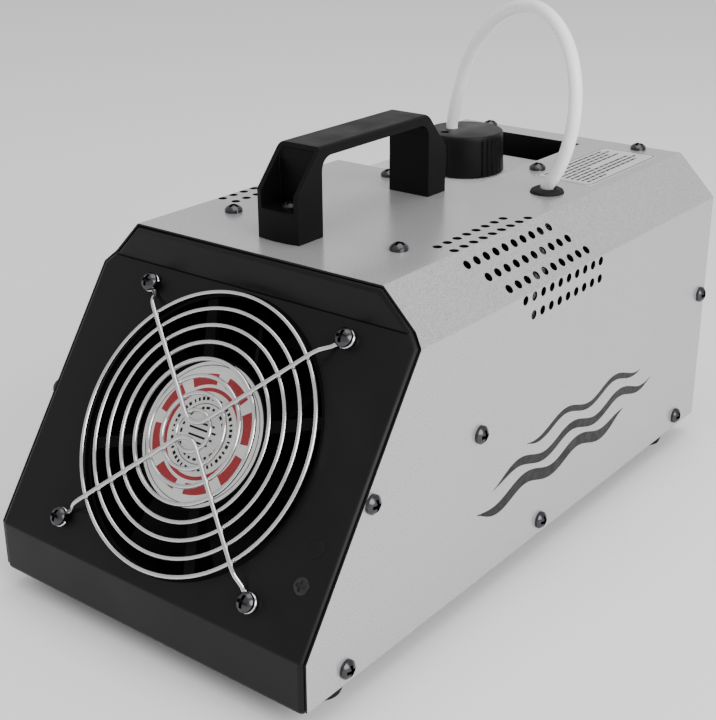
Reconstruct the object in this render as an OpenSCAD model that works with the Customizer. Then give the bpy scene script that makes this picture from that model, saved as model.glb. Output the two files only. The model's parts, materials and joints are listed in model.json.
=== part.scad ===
// Haze machine: a folded steel case with a sloped fan front, a drop-in fluid tank,
// a carrying handle, and the pump, heater and controls inside.
// Case frame: Y = 0 at the front lip, Z = 0 under the case floor, X = 0 on the centre line.

/* [Case] */
// Overall width of the cover
body_w = 171; // [169:0.5:173]
// Length from the front lip to the rear panel
body_l = 325; // [324:0.5:327]
// Height of the case without its feet
body_h = 142; // [141:0.5:143]
// Height of the upright lip below the sloped front
lip_h = 23; // [22:0.5:24]
// How far the sloped front leans back
slope_y = 72; // [70:0.5:74]
// Height at which the sloped front ends
slope_z = 127; // [125:0.5:129]
// Size of the 45 degree chamfer along both top edges
chamfer = 19.8; // [18:0.2:21]
// Thickness of the silver cover
cover_t = 1.0; // [0.8:0.1:1.2]
// Thickness of the black chassis and rear panel
chassis_t = 1.2; // [1:0.1:1.5]

/* [Fan] */
// Sideways offset of the fan from the centre line
fan_x = 1; // [-2:0.5:2]
// Distance of the fan centre up the slope from the lip
fan_up = 65; // [64:0.5:66]
// Side of the square fan frame
fan_size = 119; // [119:0.5:120]
// Depth of the fan frame
fan_depth = 38; // [36:1:38]
// Pitch of the four fan screws
fan_pitch = 105; // [104.8:0.1:105.2]
// Radius of the largest guard ring
guard_r = 57.7; // [57:0.1:58.2]
// Number of guard rings
guard_rings_n = 8; // [4:1:8]
// Radial step from one guard ring to the next
guard_step = 7.03; // [6.5:0.01:7.1]

/* [Handle] */
// Width of the handle
handle_w = 22; // [20:0.5:23]
// Front of the handle
handle_y0 = 89; // [88:0.5:90]
// Back of the handle
handle_y1 = 195; // [194:0.5:196]
// Height of the grip above the cover
handle_h = 37.6; // [36:0.2:40]

/* [Tank] */
// Right-hand edge of the tank bay in the cover
bay_x = 15.5; // [15:0.5:16]
// Front edge of the tank bay
bay_y0 = 209.5; // [209:0.5:210]
// Back edge of the tank bay
bay_y1 = 311; // [310.5:0.5:311.5]
// Height of the tank's shoulder
tank_top = 130; // [128:0.5:130]
// Wall thickness of the tank
tank_wall = 2; // [1.5:0.1:2.5]
// Outer radius at the foot of the tank cap
cap_r = 20.4; // [20:0.1:21]
// Height of the tank cap
cap_h = 20.8; // [20:0.1:21]
// Outer diameter of the fluid hose
hose_d = 6; // [5.8:0.1:6.2]

/* [Vents] */
// Diameter of the vent holes
vent_d = 4.1; // [3.8:0.1:4.4]
// Pitch of the vent holes
vent_pitch = 7.04; // [7:0.01:7.1]

/* [Feet] */
// Diameter of the rubber feet
foot_d = 20; // [18:0.5:22]
// Height of the rubber feet
foot_h = 9; // [8:0.5:10]

/* [Hidden] */

$fn = 48;
tiny = 0.02;
fit = 0.05;

// The furthest point behind the rear panel is the face of the knobs.
knob_out = 14;
model_l = body_l + knob_out;

half_w = body_w / 2;
flange = 12;
wall_gap = 0.2;
case_in = cover_t + wall_gap;
cover_base = 1.8;

slope_angle = atan2(slope_z - lip_h, slope_y);
sy = cos(slope_angle);
sz = sin(slope_angle);

screw_r = 2;
screw_hole_r = screw_r + fit;
head_r = 3.95;
head_h = 3.3;

top_screws = [[45, 111], [-45, 111], [45, 318.5], [-45, 318.5], [24.3, 253], [-26.5, 200]];
side_screws = [[40, 71.5], [112, 71.5], [319, 71.5], [24, 8.5], [164, 8.5], [302, 8.5]];
foot_places = [[70, 27], [-70, 27], [70, 300], [-70, 300]];
handle_x = -0.6;
handle_screw_y = [handle_y0 + 8.5, handle_y1 - 7.5];

mid_y = 117;
mid_hole_r = 34;
mid_hole_z = 58;

lip_screw_at = [72.5, 25.8];
lip_boss_at = [73.1, 40.2];

tank_x0 = -74;
tank_x1 = bay_x - 1.5;
tank_y0 = bay_y0 + 1.5;
tank_y1 = bay_y1 - 2.5;
tank_z0 = chassis_t + fit;
cap_x = -29.5;
cap_y = 270;
cap_z = tank_top + 0.5;
cap_top_r = cap_r - 1;
neck_r = 15.5;
neck_in = 13;
neck_h = 14;
hose_in_cap = [-6.6, -2.4];
cap_vent = [-4.7, -11.6];

hose_r = hose_d / 2;
grommet_at = [49, 220];
grommet_r = 7.9;
grommet_hole_r = 5.5;

// Route of the hose from the top of the cap over to the grommet, in the case frame.
hose_points = [
    [-36.1, 267.6, 151.35], [-36.1, 267.6, 153.5], [-35, 267, 158.5],
    [-32.6, 265.7, 166], [-29.5, 264, 174],
    [-25.6, 261.8, 183], [-20, 258.6, 192], [-12.5, 254.4, 201], [-4, 249.6, 208.5],
    [6, 243.9, 215], [17, 237.7, 219.8], [28, 231.5, 222.2], [37, 226.4, 222.4],
    [46, 221.3, 220], [54, 216.8, 215.4], [60, 213.4, 209], [64, 211.1, 201.5],
    [66.2, 209.9, 193], [66.6, 209.7, 184], [65.4, 210.4, 175], [62.6, 212, 166],
    [58.6, 214.4, 157.5], [54.2, 217, 151], [51, 218.9, 147.2], [49, 220, 144.6], [49, 220, 142.4]];

// Route of the hose inside the case, from the grommet down to the pump inlet.
inner_points = [
    [49, 220, 142.35], [49, 220, 136], [49, 219.5, 126], [49, 218, 114], [49, 215.5, 102],
    [49, 212, 90], [49, 207.5, 78], [49, 203, 68], [49.2, 199.5, 58], [49.4, 198, 49],
    [49.7, 199.5, 41], [49.9, 203.5, 35.5], [50, 209, 33], [50, 212, 33]];

// Route of the stiff tube from the pump outlet round to the heater inlet.
pressure_points = [
    [50, 283, 33], [50, 287, 33], [48.6, 291, 33], [45, 294.5, 33], [40, 296, 33], [34.5, 295, 33],
    [30, 291.5, 33], [27.2, 286, 33], [26, 279, 33], [26, 262, 33], [26, 244, 33], [26, 228, 33],
    [25.6, 218, 33], [24.2, 212, 33], [22, 207.5, 33], [20.4, 204, 33], [20, 201, 33], [20, 186, 33]];

pump_x = 50;
pump_z = 33;
pump_y0 = 212;

heater_x0 = -44;
heater_x1 = 36;
heater_y0 = 127;
heater_y1 = 201;
heater_z0 = 14;
heater_z1 = 76;

board_x0 = 42;
board_x1 = 78;
board_y0 = 124;
board_y1 = 202;
board_z = 12;

panel_y = body_l;
knob_places = [[66, 112], [40, 112]];
light_at = [53, 127];
button_at = [53, 97];
remote_at = [53, 76];
switch_at = [26, 72];
inlet_at = [52, 38];
control_y = panel_y - 17;

// ---------------------------------------------------------------- helpers

// Moves a piece from the case frame to the model frame, whose origin is under the middle.
module place() {
    translate([0, -model_l / 2, foot_h]) children();
}

// Cross-section of the case in X and Z, shrunk by inset, with its lower edge at base.
function section(inset, base) =
    let (bend = inset * tan(22.5),
         side = half_w - inset,
         kink = body_h - chamfer - bend,
         flat = half_w - chamfer - bend,
         top = body_h - inset)
    [[side, base], [side, kink], [flat, top], [-flat, top], [-side, kink], [-side, base]];

// The case cross-section extruded from y0 to y1.
module case_prism(inset, base, y0, y1) {
    translate([0, y1, 0])
        rotate([90, 0, 0])
            linear_extrude(y1 - y0)
                polygon(section(inset, base));
}

// Front outline in Y and Z, moved back by depth: lip, slope and upright band.
function front_line(depth) = [
    [depth, -5],
    [depth, lip_h - depth * (1 - sz) / sy],
    [slope_y + depth, lip_h + ((slope_y + depth) * sz - depth) / sy],
    [slope_y + depth, body_h + 5]];

// Everything behind the front outline, as far back as y_end.
module behind_front(depth, y_end) {
    translate([-half_w - 5, 0, 0])
        rotate([90, 0, 90])
            linear_extrude(body_w + 10)
                polygon(concat(front_line(depth), [[y_end, body_h + 5], [y_end, -5]]));
}

// The band between the front outline and the same outline moved back by depth.
module front_band(depth) {
    translate([-half_w - 5, 0, 0])
        rotate([90, 0, 90])
            linear_extrude(body_w + 10)
                polygon(concat(front_line(-1), [for (i = [3:-1:0]) front_line(depth)[i]]));
}

// Local frame of the sloped front: X across, Y up the slope, Z outwards, zero at the lip.
module on_slope() {
    translate([0, 0, lip_h])
        rotate([slope_angle, 0, 0])
            children();
}

// Local frame of the fan: zero at the fan's centre on the face of the sloped front.
module on_fan() {
    on_slope()
        translate([fan_x, fan_up, 0])
            children();
}

module fan_corners() {
    for (sx = [-1, 1], su = [-1, 1])
        translate([sx * fan_pitch / 2, su * fan_pitch / 2, 0])
            children();
}

module top_screw_places() {
    for (p = top_screws)
        translate([p[0], p[1], body_h])
            children();
}

// Screws of one side of the cover: side is 1 on the right and -1 on the left.
module side_screw_places(side) {
    for (p = side_screws)
        translate([side * half_w, p[0], p[1]])
            rotate([0, side * 90, 0])
                children();
}

module cover_screw_holes() {
    top_screw_places() cylinder(h = 12, r = screw_hole_r, center = true, $fn = 24);
    for (side = [-1, 1])
        side_screw_places(side) cylinder(h = 12, r = screw_hole_r, center = true, $fn = 24);
}

// Local frame of the rear panel: X across, Y up, Z backwards out of the case.
module on_rear(at) {
    translate([at[0], panel_y, at[1]])
        rotate([90, 0, 180])
            children();
}

// Cross recess for a screw head whose top is at z = 0.
module cross_recess(size, depth) {
    for (a = [0, 90])
        rotate([0, 0, a])
            translate([-size / 2, -size / 7, -depth])
                cube([size, size / 3.5, depth + 1]);
}

// Pan head screw with its head above z = 0 and its shank below.
module pan_screw(r_head, h_head, r_shank, length) {
    ball = (r_head * r_head + h_head * h_head) / (2 * h_head) + 0.9;
    recess_size = r_head * 1.3;
    recess_depth = h_head * 0.85;
    difference() {
        union() {
            intersection() {
                cylinder(h = h_head, r = r_head, $fn = 40);
                translate([0, 0, h_head - ball]) sphere(r = ball, $fn = 64);
            }
            translate([0, 0, -length]) cylinder(h = length + 0.5, r = r_shank, $fn = 24);
        }
        translate([0, 0, h_head]) cross_recess(recess_size, recess_depth);
    }
}

module hex_nut(across, h, bore) {
    difference() {
        cylinder(h = h, r = across / sqrt(3), $fn = 6);
        translate([0, 0, -1]) cylinder(h = h + 2, r = bore, $fn = 24);
    }
}

module rounded_square(w, d, r) {
    hx = w / 2 - r;
    hy = d / 2 - r;
    square([w, 2 * hy], center = true);
    square([2 * hx, d], center = true);
    for (sx = [-1, 1], su = [-1, 1])
        translate([sx * hx, su * hy]) circle(r = r, $fn = 32);
}

module tube(r_out, r_in, h) {
    difference() {
        cylinder(h = h, r = r_out);
        translate([0, 0, -1]) cylinder(h = h + 2, r = r_in);
    }
}

// Direction of a route at point i, from its neighbours.
function heading(pts, i) =
    let (a = pts[max(i - 1, 0)],
         b = pts[min(i + 1, len(pts) - 1)])
    (b - a) / norm(b - a);

// One ring of a swept tube round point i; side is a direction never along the route.
function ring(pts, i, r, sides, side) =
    let (t = heading(pts, i),
         u0 = cross(side, t),
         u = u0 / norm(u0),
         v = cross(t, u))
    [for (k = [0:sides - 1]) pts[i] + r * (cos(360 * k / sides) * u + sin(360 * k / sides) * v)];

// Tube of radius r swept along the points of a route.
module swept(pts, r, sides, side) {
    n = len(pts);
    walls = [for (i = [0:n - 2], k = [0:sides - 1])
        [i * sides + k, i * sides + (k + 1) % sides,
         (i + 1) * sides + (k + 1) % sides, (i + 1) * sides + k]];
    first = [for (k = [sides - 1:-1:0]) k];
    last = [for (k = [0:sides - 1]) (n - 1) * sides + k];
    polyhedron(
        points = [for (i = [0:n - 1]) each ring(pts, i, r, sides, side)],
        faces = [for (f = concat(walls, [first, last])) [for (j = [len(f) - 1:-1:0]) f[j]]]);
}

// ---------------------------------------------------------------- case

// One row of vent holes: place holes from y0 at the pitch, axis along the local Z.
module vent_row(count, y0) {
    for (i = [0:count - 1])
        translate([0, y0 + i * vent_pitch, 0])
            cylinder(h = 8, r = vent_d / 2, center = true, $fn = 20);
}

// Seven rows of vents wrap from the top over the chamfer to one side.
module vents(side) {
    flat = half_w - chamfer;
    mirror([side < 0 ? 1 : 0, 0, 0]) {
        translate([55.2, 0, body_h]) vent_row(8, 123.3);
        translate([63.3, 0, body_h]) vent_row(9, 123.3);
        for (row = [[6.2, 10, 122.6], [14.4, 10, 129.5], [22.6, 10, 136.2]])
            translate([flat, 0, body_h])
                rotate([0, 45, 0])
                    translate([row[0], 0, 0])
                        vent_row(row[1], row[2]);
        for (row = [[119.7, 10, 143.3], [111.5, 9, 150.4]])
            translate([half_w, 0, row[0]])
                rotate([0, 90, 0])
                    vent_row(row[1], row[2]);
    }
}

module bay_cut() {
    translate([-half_w - 5, bay_y0, 34])
        cube([half_w + 5 + bay_x, bay_y1 - bay_y0, body_h]);
}

module cover() {
    color("silver")
    difference() {
        intersection() {
            difference() {
                case_prism(0, cover_base, 0, body_l);
                case_prism(cover_t, cover_base - 1, -1, body_l + 1);
            }
            behind_front(1.3, body_l + 1);
        }
        bay_cut();
        vents(1);
        vents(-1);
        cover_screw_holes();
        translate([grommet_at[0], grommet_at[1], body_h - 5]) cylinder(h = 10, r = grommet_hole_r);
        for (y = handle_screw_y)
            translate([0, y, body_h - 5]) cylinder(h = 10, r = screw_hole_r, $fn = 24);
    }
}

module fan_holes() {
    on_fan() {
        translate([0, 0, -10]) cylinder(h = 20, r = guard_r + 1.6, $fn = 96);
        fan_corners() translate([0, 0, -10]) cylinder(h = 20, r = screw_hole_r, $fn = 24);
    }
    on_slope()
        translate([lip_screw_at[0], lip_screw_at[1], -10])
            cylinder(h = 20, r = 1.55, $fn = 24);
}

module chassis() {
    color("#202124")
    difference() {
        intersection() {
            difference() {
                case_prism(case_in, 0, 0, body_l - chassis_t - fit);
                intersection() {
                    case_prism(case_in + chassis_t, chassis_t, -1, body_l + 1);
                    behind_front(chassis_t, body_l + 1);
                }
            }
            behind_front(0, body_l + 1);
            union() {
                front_band(flange);
                translate([-half_w, -5, -5]) cube([body_w, body_l + 10, 5 + 16]);
            }
        }
        fan_holes();
        cover_screw_holes();
        for (p = foot_places)
            translate([p[0], p[1], -1]) cylinder(h = 5, r = screw_hole_r, $fn = 24);
        // Air slots under the heater.
        for (i = [0:5])
            translate([-25 + i * 8, 134, -1]) cube([4, 60, 5]);
    }
    // Flat raised boss pressed out of the sloped front above the black screw.
    color("#202124")
    on_slope()
        translate([lip_boss_at[0], lip_boss_at[1], -0.2])
            cylinder(h = 0.5, r = 3.4, $fn = 40);
}

module rear_vents() {
    for (i = [0:7], j = [0:8])
        on_rear([-68 + i * 9, 36 + j * 9])
            translate([0, 0, -3]) cylinder(h = 6, r = 2.6, $fn = 20);
}

module rear_cutouts() {
    for (p = knob_places)
        on_rear(p) translate([0, 0, -3]) cylinder(h = 6, r = 3.6, $fn = 32);
    on_rear(light_at) translate([0, 0, -3]) cylinder(h = 6, r = 2.55, $fn = 32);
    on_rear(button_at) translate([0, 0, -3]) cylinder(h = 6, r = 6.2, $fn = 32);
    on_rear(remote_at) translate([0, 0, -3]) cylinder(h = 6, r = 7.55, $fn = 48);
    on_rear(switch_at) cube([13.2, 21.2, 6], center = true);
    on_rear(inlet_at) cube([28.1, 32.1, 6], center = true);
}

module rear_panel() {
    color("#202124")
    difference() {
        intersection() {
            difference() {
                case_prism(case_in, chassis_t + fit, body_l - flange, body_l);
                case_prism(case_in + chassis_t, -1, body_l - flange - 1, body_l - chassis_t);
            }
            translate([-half_w, body_l - flange - 1, chassis_t + fit])
                cube([body_w, flange + 2, body_h]);
        }
        translate([-half_w, body_l - flange - 1, -1]) cube([body_w, flange + 1 - chassis_t, 17.2]);
        cover_screw_holes();
        rear_vents();
        rear_cutouts();
    }
}

// Bulkhead between the fan chamber and the heater, with its flanges facing forwards.
module mid_frame() {
    color("#8f9296")
    difference() {
        case_prism(case_in, chassis_t + fit, mid_y - flange, mid_y);
        case_prism(case_in + chassis_t, -1, mid_y - flange - 1, mid_y - chassis_t);
        translate([-half_w, mid_y - flange - 1, -1]) cube([body_w, flange + 1 - chassis_t, 17.2]);
        translate([-half_w - 1, mid_y - flange - 1, -1]) cube([half_w - 76, flange + 2, 17.2]);
        translate([77, mid_y - flange - 1, -1]) cube([half_w, flange + 2, 17.2]);
        cover_screw_holes();
        translate([0, mid_y + 5, mid_hole_z])
            rotate([90, 0, 0])
                cylinder(h = 20, r = mid_hole_r, $fn = 64);
        for (x = [-60, 52], z = [40:12:100])
            translate([x - 12, mid_y - 5, z]) cube([24, 10, 5]);
    }
}

// Side outline of the handle in Y and Z, with an arc at each inner corner.
function handle_outline() =
    let (top = body_h + handle_h,
         knee = body_h + 19.3,
         under = top - 4.1,
         y_in0 = handle_y0 + 16.6,
         y_in1 = handle_y1 - 14.7,
         r = 6)
    concat(
        [[handle_y0, body_h], [y_in0, body_h]],
        [for (a = [180:-15:90]) [y_in0 + r + r * cos(a), under - r + r * sin(a)]],
        [for (a = [90:-15:0]) [y_in1 - r + r * cos(a), under - r + r * sin(a)]],
        [[y_in1, body_h], [handle_y1, body_h], [handle_y1, knee], [handle_y1 - 15, top],
         [handle_y0 + 16, top], [handle_y0, knee]]);

// Cross section of the grip in X and Z, with its two upper edges rounded.
function handle_section() =
    let (top = body_h + handle_h,
         half = handle_w / 2,
         r = 2.2)
    concat(
        [[-half, body_h], [half, body_h]],
        [for (a = [0:15:90]) [half - r + r * cos(a), top - r + r * sin(a)]],
        [for (a = [90:15:180]) [r - half + r * cos(a), top - r + r * sin(a)]]);

// Plan of the handle: its two ends bulge by end_bulge in the middle.
function handle_plan() =
    let (half = handle_w / 2,
         end_bulge = 1.2,
         ball = (half * half + end_bulge * end_bulge) / (2 * end_bulge),
         swing = asin(half / ball))
    concat(
        [for (a = [-swing:swing / 6:swing + 0.01])
            [ball * sin(a), handle_y0 + ball - ball * cos(a)]],
        [for (a = [swing:-swing / 6:-swing - 0.01])
            [ball * sin(a), handle_y1 - ball + ball * cos(a)]]);

// Pocket over each foot of the handle, where its screw goes in from above.
module handle_pocket() {
    floor_z = body_h + 13;
    knee = body_h + 19.3;
    top = body_h + handle_h;
    wall = 2.3;
    roof = 1.7;
    translate([wall - handle_w / 2, 0, 0])
        rotate([90, 0, 90])
            linear_extrude(handle_w - 2 * wall)
                polygon([[handle_y0 - 1, floor_z], [handle_y0 + 13, floor_z],
                    [handle_y0 + 13, top - 6], [handle_y0 + 14.8, top - roof],
                    [handle_y0 + 10, top - roof], [handle_y0 - 1, knee + 6]]);
}

module handle() {
    color("#17181a")
    difference() {
        translate([handle_x, 0, 0])
            difference() {
                intersection() {
                    translate([-handle_w / 2 - 1, 0, 0])
                        rotate([90, 0, 90])
                            linear_extrude(handle_w + 2)
                                polygon(handle_outline());
                    translate([0, handle_y1 + 1, 0])
                        rotate([90, 0, 0])
                            linear_extrude(handle_y1 - handle_y0 + 2)
                                polygon(handle_section());
                    translate([0, 0, body_h - 1])
                        linear_extrude(handle_h + 2)
                            polygon(handle_plan());
                }
                handle_pocket();
                translate([0, handle_y0 + handle_y1, 0])
                    mirror([0, 1, 0])
                        handle_pocket();
            }
        for (y = handle_screw_y)
            translate([0, y, body_h - 1]) cylinder(h = 20, r = screw_hole_r, $fn = 24);
    }
}

module handle_screws() {
    color("#3a3a3c")
    for (y = handle_screw_y)
        translate([0, y, body_h + 13]) pan_screw(3.6, 2.3, screw_r, 20);
}

module handle_nuts() {
    color("#8f9296")
    for (y = handle_screw_y)
        translate([0, y, body_h - cover_t - 3.2]) hex_nut(7, 3.2, screw_r);
}

module cover_screws_top() {
    color("#4a4a4d")
    top_screw_places() pan_screw(head_r, head_h, screw_r, 8);
}

module cover_screws_right() {
    color("#4a4a4d")
    side_screw_places(1) pan_screw(head_r, head_h, screw_r, 8);
}

module cover_screws_left() {
    color("#4a4a4d")
    side_screw_places(-1) pan_screw(head_r, head_h, screw_r, 8);
}

// Black screw low on the sloped front, which holds the clip of the fan's ground lead.
module lip_screw() {
    color("#232426")
    on_slope()
        translate([lip_screw_at[0], lip_screw_at[1], 0])
            pan_screw(3.4, 0.9, 1.5, 8);
}

// Folded walls of the tank bay: one in front of the tank and one on its right,
// each with a flange screwed up under the cover.
module tank_bay() {
    wall_y = bay_y0 - 1.9;
    wall_x = bay_x + 0.1;
    flange_y = 12;
    flange_x = 14;
    floor_z = chassis_t + fit;
    color("#8f9296")
    difference() {
        intersection() {
            case_prism(case_in, floor_z, wall_y - flange_y, bay_y1);
            union() {
                translate([-half_w + 4, wall_y, floor_z])
                    cube([half_w - 4 + wall_x + chassis_t, chassis_t, body_h]);
                translate([wall_x, wall_y, floor_z])
                    cube([chassis_t, bay_y1 - wall_y, body_h]);
                translate([-60, wall_y - flange_y, body_h - case_in - chassis_t])
                    cube([60 + wall_x, flange_y + 0.5, chassis_t]);
                translate([wall_x + 0.5, 238, body_h - case_in - chassis_t])
                    cube([flange_x, 30, chassis_t]);
            }
        }
        cover_screw_holes();
    }
}

module feet() {
    color("#1a1a1a")
    for (p = foot_places)
        translate([p[0], p[1], -foot_h])
            difference() {
                union() {
                    cylinder(h = 3, r1 = foot_d / 2 - 1.6, r2 = foot_d / 2 - 0.6);
                    translate([0, 0, 3]) cylinder(h = foot_h - 3, r1 = foot_d / 2 - 0.6, r2 = foot_d / 2);
                }
                translate([0, 0, -1]) cylinder(h = 5, r = 4.6);
                translate([0, 0, 1]) cylinder(h = foot_h, r = screw_hole_r, $fn = 24);
            }
}

module foot_screws() {
    color("#4a4a4d")
    for (p = foot_places)
        translate([p[0], p[1], -foot_h + 4])
            mirror([0, 0, 1])
                pan_screw(3.9, 2.4, screw_r, 6);
}

module rating_plate() {
    color("#cfcfd2")
    translate([44.5, 276, body_h])
        linear_extrude(0.2)
            rounded_square(31, 70, 3);
}

// ---------------------------------------------------------------- fan

fan_z1 = -chassis_t - fit;
fan_z0 = fan_z1 - fan_depth;
fan_flange = 4;
fan_bore = 57.2;
boss_r = 31;
boss_z = fan_z1 - 0.6;

module fan_plate(z) {
    translate([0, 0, z])
        linear_extrude(fan_flange)
            rounded_square(fan_size, fan_size, 7);
}

// Square frame with one round bore, and a fixed hub on four struts.
module fan_frame() {
    color("#1c1d1f")
    on_fan() {
        difference() {
            union() {
                fan_plate(fan_z1 - fan_flange);
                fan_plate(fan_z0);
                translate([0, 0, fan_z0 + 1])
                    cylinder(h = fan_depth - 2, r = fan_bore + 1.8, $fn = 96);
            }
            translate([0, 0, fan_z0 - 1]) cylinder(h = fan_depth + 2, r = fan_bore, $fn = 96);
            fan_corners()
                translate([0, 0, fan_z0 - 1]) cylinder(h = fan_depth + 2, r = screw_hole_r, $fn = 24);
        }
        for (a = [20, 110, 200, 290])
            rotate([0, 0, a])
                translate([boss_r - 1, -2.5, fan_z1 - 3.6])
                    cube([fan_bore - boss_r + 1.5, 5, 3]);
        difference() {
            union() {
                translate([0, 0, boss_z - 5]) cylinder(h = 5, r = boss_r, $fn = 64);
                translate([0, 0, boss_z - 27]) cylinder(h = 23, r = 6);
            }
            translate([0, 0, boss_z - 28]) cylinder(h = 26.5, r = 4.05, $fn = 32);
            translate([0, 0, boss_z - 0.3]) cylinder(h = 1, r = 30.1, $fn = 64);
        }
    }
}

module fan_label() {
    color("white")
    on_fan() translate([0, 0, boss_z - 0.3]) cylinder(h = 0.3, r = 30, $fn = 96);
}

module fan_stator() {
    color("#8a5a2b")
    on_fan()
        translate([0, 0, boss_z - 20])
            difference() {
                union() {
                    cylinder(h = 10, r = 13);
                    for (a = [0:90:270])
                        rotate([0, 0, a]) {
                            translate([10, -6, -1]) cube([9, 12, 12]);
                            intersection() {
                                translate([19, -11, 0]) cube([8, 22, 10]);
                                cylinder(h = 30, r = 25.5, center = true);
                            }
                        }
                }
                translate([0, 0, -2]) cylinder(h = 14, r = 6);
            }
}

module fan_bearings() {
    color("#c8b070")
    on_fan()
        for (z = [boss_z - 8.2, boss_z - 26])
            translate([0, 0, z]) tube(4.05, 1.55, 4);
}

module fan_shaft() {
    color("silver")
    on_fan() translate([0, 0, boss_z - 34]) cylinder(h = 31, r = 1.5, $fn = 32);
}

module fan_rotor() {
    color("#141415")
    on_fan() {
        difference() {
            translate([0, 0, boss_z - 34]) cylinder(h = 28, r = 31, $fn = 64);
            translate([0, 0, boss_z - 31.5]) cylinder(h = 30, r = 28.5, $fn = 64);
            translate([0, 0, boss_z - 35]) cylinder(h = 6, r = 1.5, $fn = 32);
        }
        intersection() {
            for (a = [0:360 / 7:359])
                rotate([0, 0, a])
                    translate([30.5, 0, boss_z - 20])
                        rotate([52, 0, 0])
                            translate([0, -0.8, -16]) cube([30, 1.6, 32]);
            translate([0, 0, boss_z - 33]) tube(56, 30.4, 26, $fn = 96);
        }
    }
}

ring_r = 0.9;
spoke_r = 1.0;
ring_lift = 3.6;
spoke_lift = ring_lift + ring_r + spoke_r - 0.25;
eye_lift = 1.2;
eye_r = 3.3;
bend_r = 8;

module guard_rings() {
    color("#d8d9db")
    on_fan()
        for (i = [0:guard_rings_n - 1])
            translate([0, 0, ring_lift])
                rotate_extrude($fn = 96)
                    translate([guard_r - i * guard_step, 0]) circle(r = ring_r, $fn = 16);
}

// Path of one guard wire in the fan's frame: a loop round the right-hand screw, a step up on to
// the rings, straight in to the middle, a bend, and the same again on the left.
function wire_half(side) =
    let (reach = fan_pitch / 2,
         outer = 62 / sqrt(2),
         inner = bend_r / sqrt(2),
         start = reach - eye_r / sqrt(2))
    concat(
        [for (a = [300:-24:0])
            let (turn = 225 + side * a)
            [side * reach + eye_r * cos(side > 0 ? turn : turn + 90),
             reach + eye_r * sin(side > 0 ? turn : turn + 90), eye_lift]],
        [[side * (start - 2.4), start - 2.4, eye_lift + 0.5],
         [side * (outer + 1.2), outer + 1.2, spoke_lift - 0.7],
         [side * (outer - 1), outer - 1, spoke_lift],
         [side * (inner + 2), inner + 2, spoke_lift]]);

function guard_wire() =
    let (right = wire_half(1),
         left = wire_half(-1))
    concat(
        right,
        [for (a = [-45:-15:-135]) [bend_r * cos(a), bend_r * (sqrt(2) + sin(a)), spoke_lift]],
        [for (i = [len(left) - 1:-1:0]) left[i]]);

module guard_spokes() {
    color("#d8d9db")
    on_fan()
        for (turn = [0, 180])
            rotate([0, 0, turn]) swept(guard_wire(), spoke_r, 10, [0, 0, 1]);
}

module guard_screws() {
    color("#4a4a4d")
    on_fan()
        fan_corners()
            translate([0, 0, eye_lift + spoke_r]) pan_screw(head_r, head_h, screw_r, 13);
}

module guard_nuts() {
    color("#8f9296")
    on_fan()
        fan_corners()
            translate([0, 0, fan_z1 - fan_flange - 3.2]) hex_nut(7, 3.2, screw_r);
}

// ---------------------------------------------------------------- tank and hoses

module tank_outline(inset) {
    translate([(tank_x0 + tank_x1) / 2, (tank_y0 + tank_y1) / 2])
        rounded_square(tank_x1 - tank_x0 - 2 * inset, tank_y1 - tank_y0 - 2 * inset, 9 - inset);
}

module tank() {
    color("#e6e6e2")
    difference() {
        union() {
            translate([0, 0, tank_z0]) linear_extrude(tank_top - tank_z0) tank_outline(0);
            translate([cap_x, cap_y, tank_top - tiny]) cylinder(h = neck_h, r = neck_r);
        }
        translate([0, 0, tank_z0 + tank_wall])
            linear_extrude(tank_top - tank_z0 - 2 * tank_wall)
                tank_outline(tank_wall);
        translate([cap_x, cap_y, tank_top - tank_wall - 1]) cylinder(h = neck_h + 5, r = neck_in);
    }
}

module tank_cap() {
    rib_zones = 4;
    zone_turn = -11.5;
    lean = atan((cap_r - cap_top_r) / (cap_h - 1.2));
    color("#1b1b1c")
    translate([cap_x, cap_y, cap_z])
        difference() {
            union() {
                cylinder(h = cap_h - 1.2, r1 = cap_r, r2 = cap_top_r);
                translate([0, 0, cap_h - 1.2]) cylinder(h = 1.2, r1 = cap_top_r, r2 = cap_top_r - 1);
            }
            translate([0, 0, -1]) cylinder(h = neck_h + 3, r = neck_r + 0.4);
            for (zone = [0:rib_zones - 1], groove = [-18:9:18])
                rotate([0, 0, zone * 360 / rib_zones + zone_turn + groove])
                    translate([cap_r + 0.35, 0, 0])
                        rotate([0, -lean, 0])
                            translate([0, 0, -1])
                                cylinder(h = cap_h - 1.6, r = 0.9, $fn = 16);
            translate([hose_in_cap[0], hose_in_cap[1], 0]) cylinder(h = cap_h + 1, r = hose_r, $fn = 32);
            translate([cap_vent[0], cap_vent[1], cap_h - 1]) cylinder(h = 3, r = 2.3, $fn = 24);
            translate([cap_vent[0], cap_vent[1], 0]) cylinder(h = cap_h + 1, r = 0.6, $fn = 16);
        }
}

module cap_seal() {
    color("#b9b4a8")
    translate([cap_x, cap_y, tank_top + neck_h + 0.05]) tube(neck_r + 0.2, neck_in, 2.4);
}

// Lower end of the hose, through the cap and down to the bottom of the tank.
module dip_tube() {
    color("#dcdcd8")
    translate([cap_x + hose_in_cap[0], cap_y + hose_in_cap[1], tank_z0 + 14])
        tube(hose_r, 2, cap_z + cap_h - tank_z0 - 14, $fn = 24);
}

module suction_filter() {
    color("#c8c4b4")
    translate([cap_x + hose_in_cap[0], cap_y + hose_in_cap[1], tank_z0 + 4])
        difference() {
            union() {
                cylinder(h = 12, r = 5.5);
                translate([0, 0, 12]) cylinder(h = 5, r1 = 5.5, r2 = 3.6);
            }
            translate([0, 0, 10]) cylinder(h = 12, r = hose_r, $fn = 24);
        }
}

module feed_hose() {
    color("#e4e4e2") swept(hose_points, hose_r, 12, [0.5, 0.86, 0]);
}

module inner_hose() {
    color("#e4e4e2") swept(inner_points, hose_r, 10, [1, 0, 0]);
}

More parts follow.
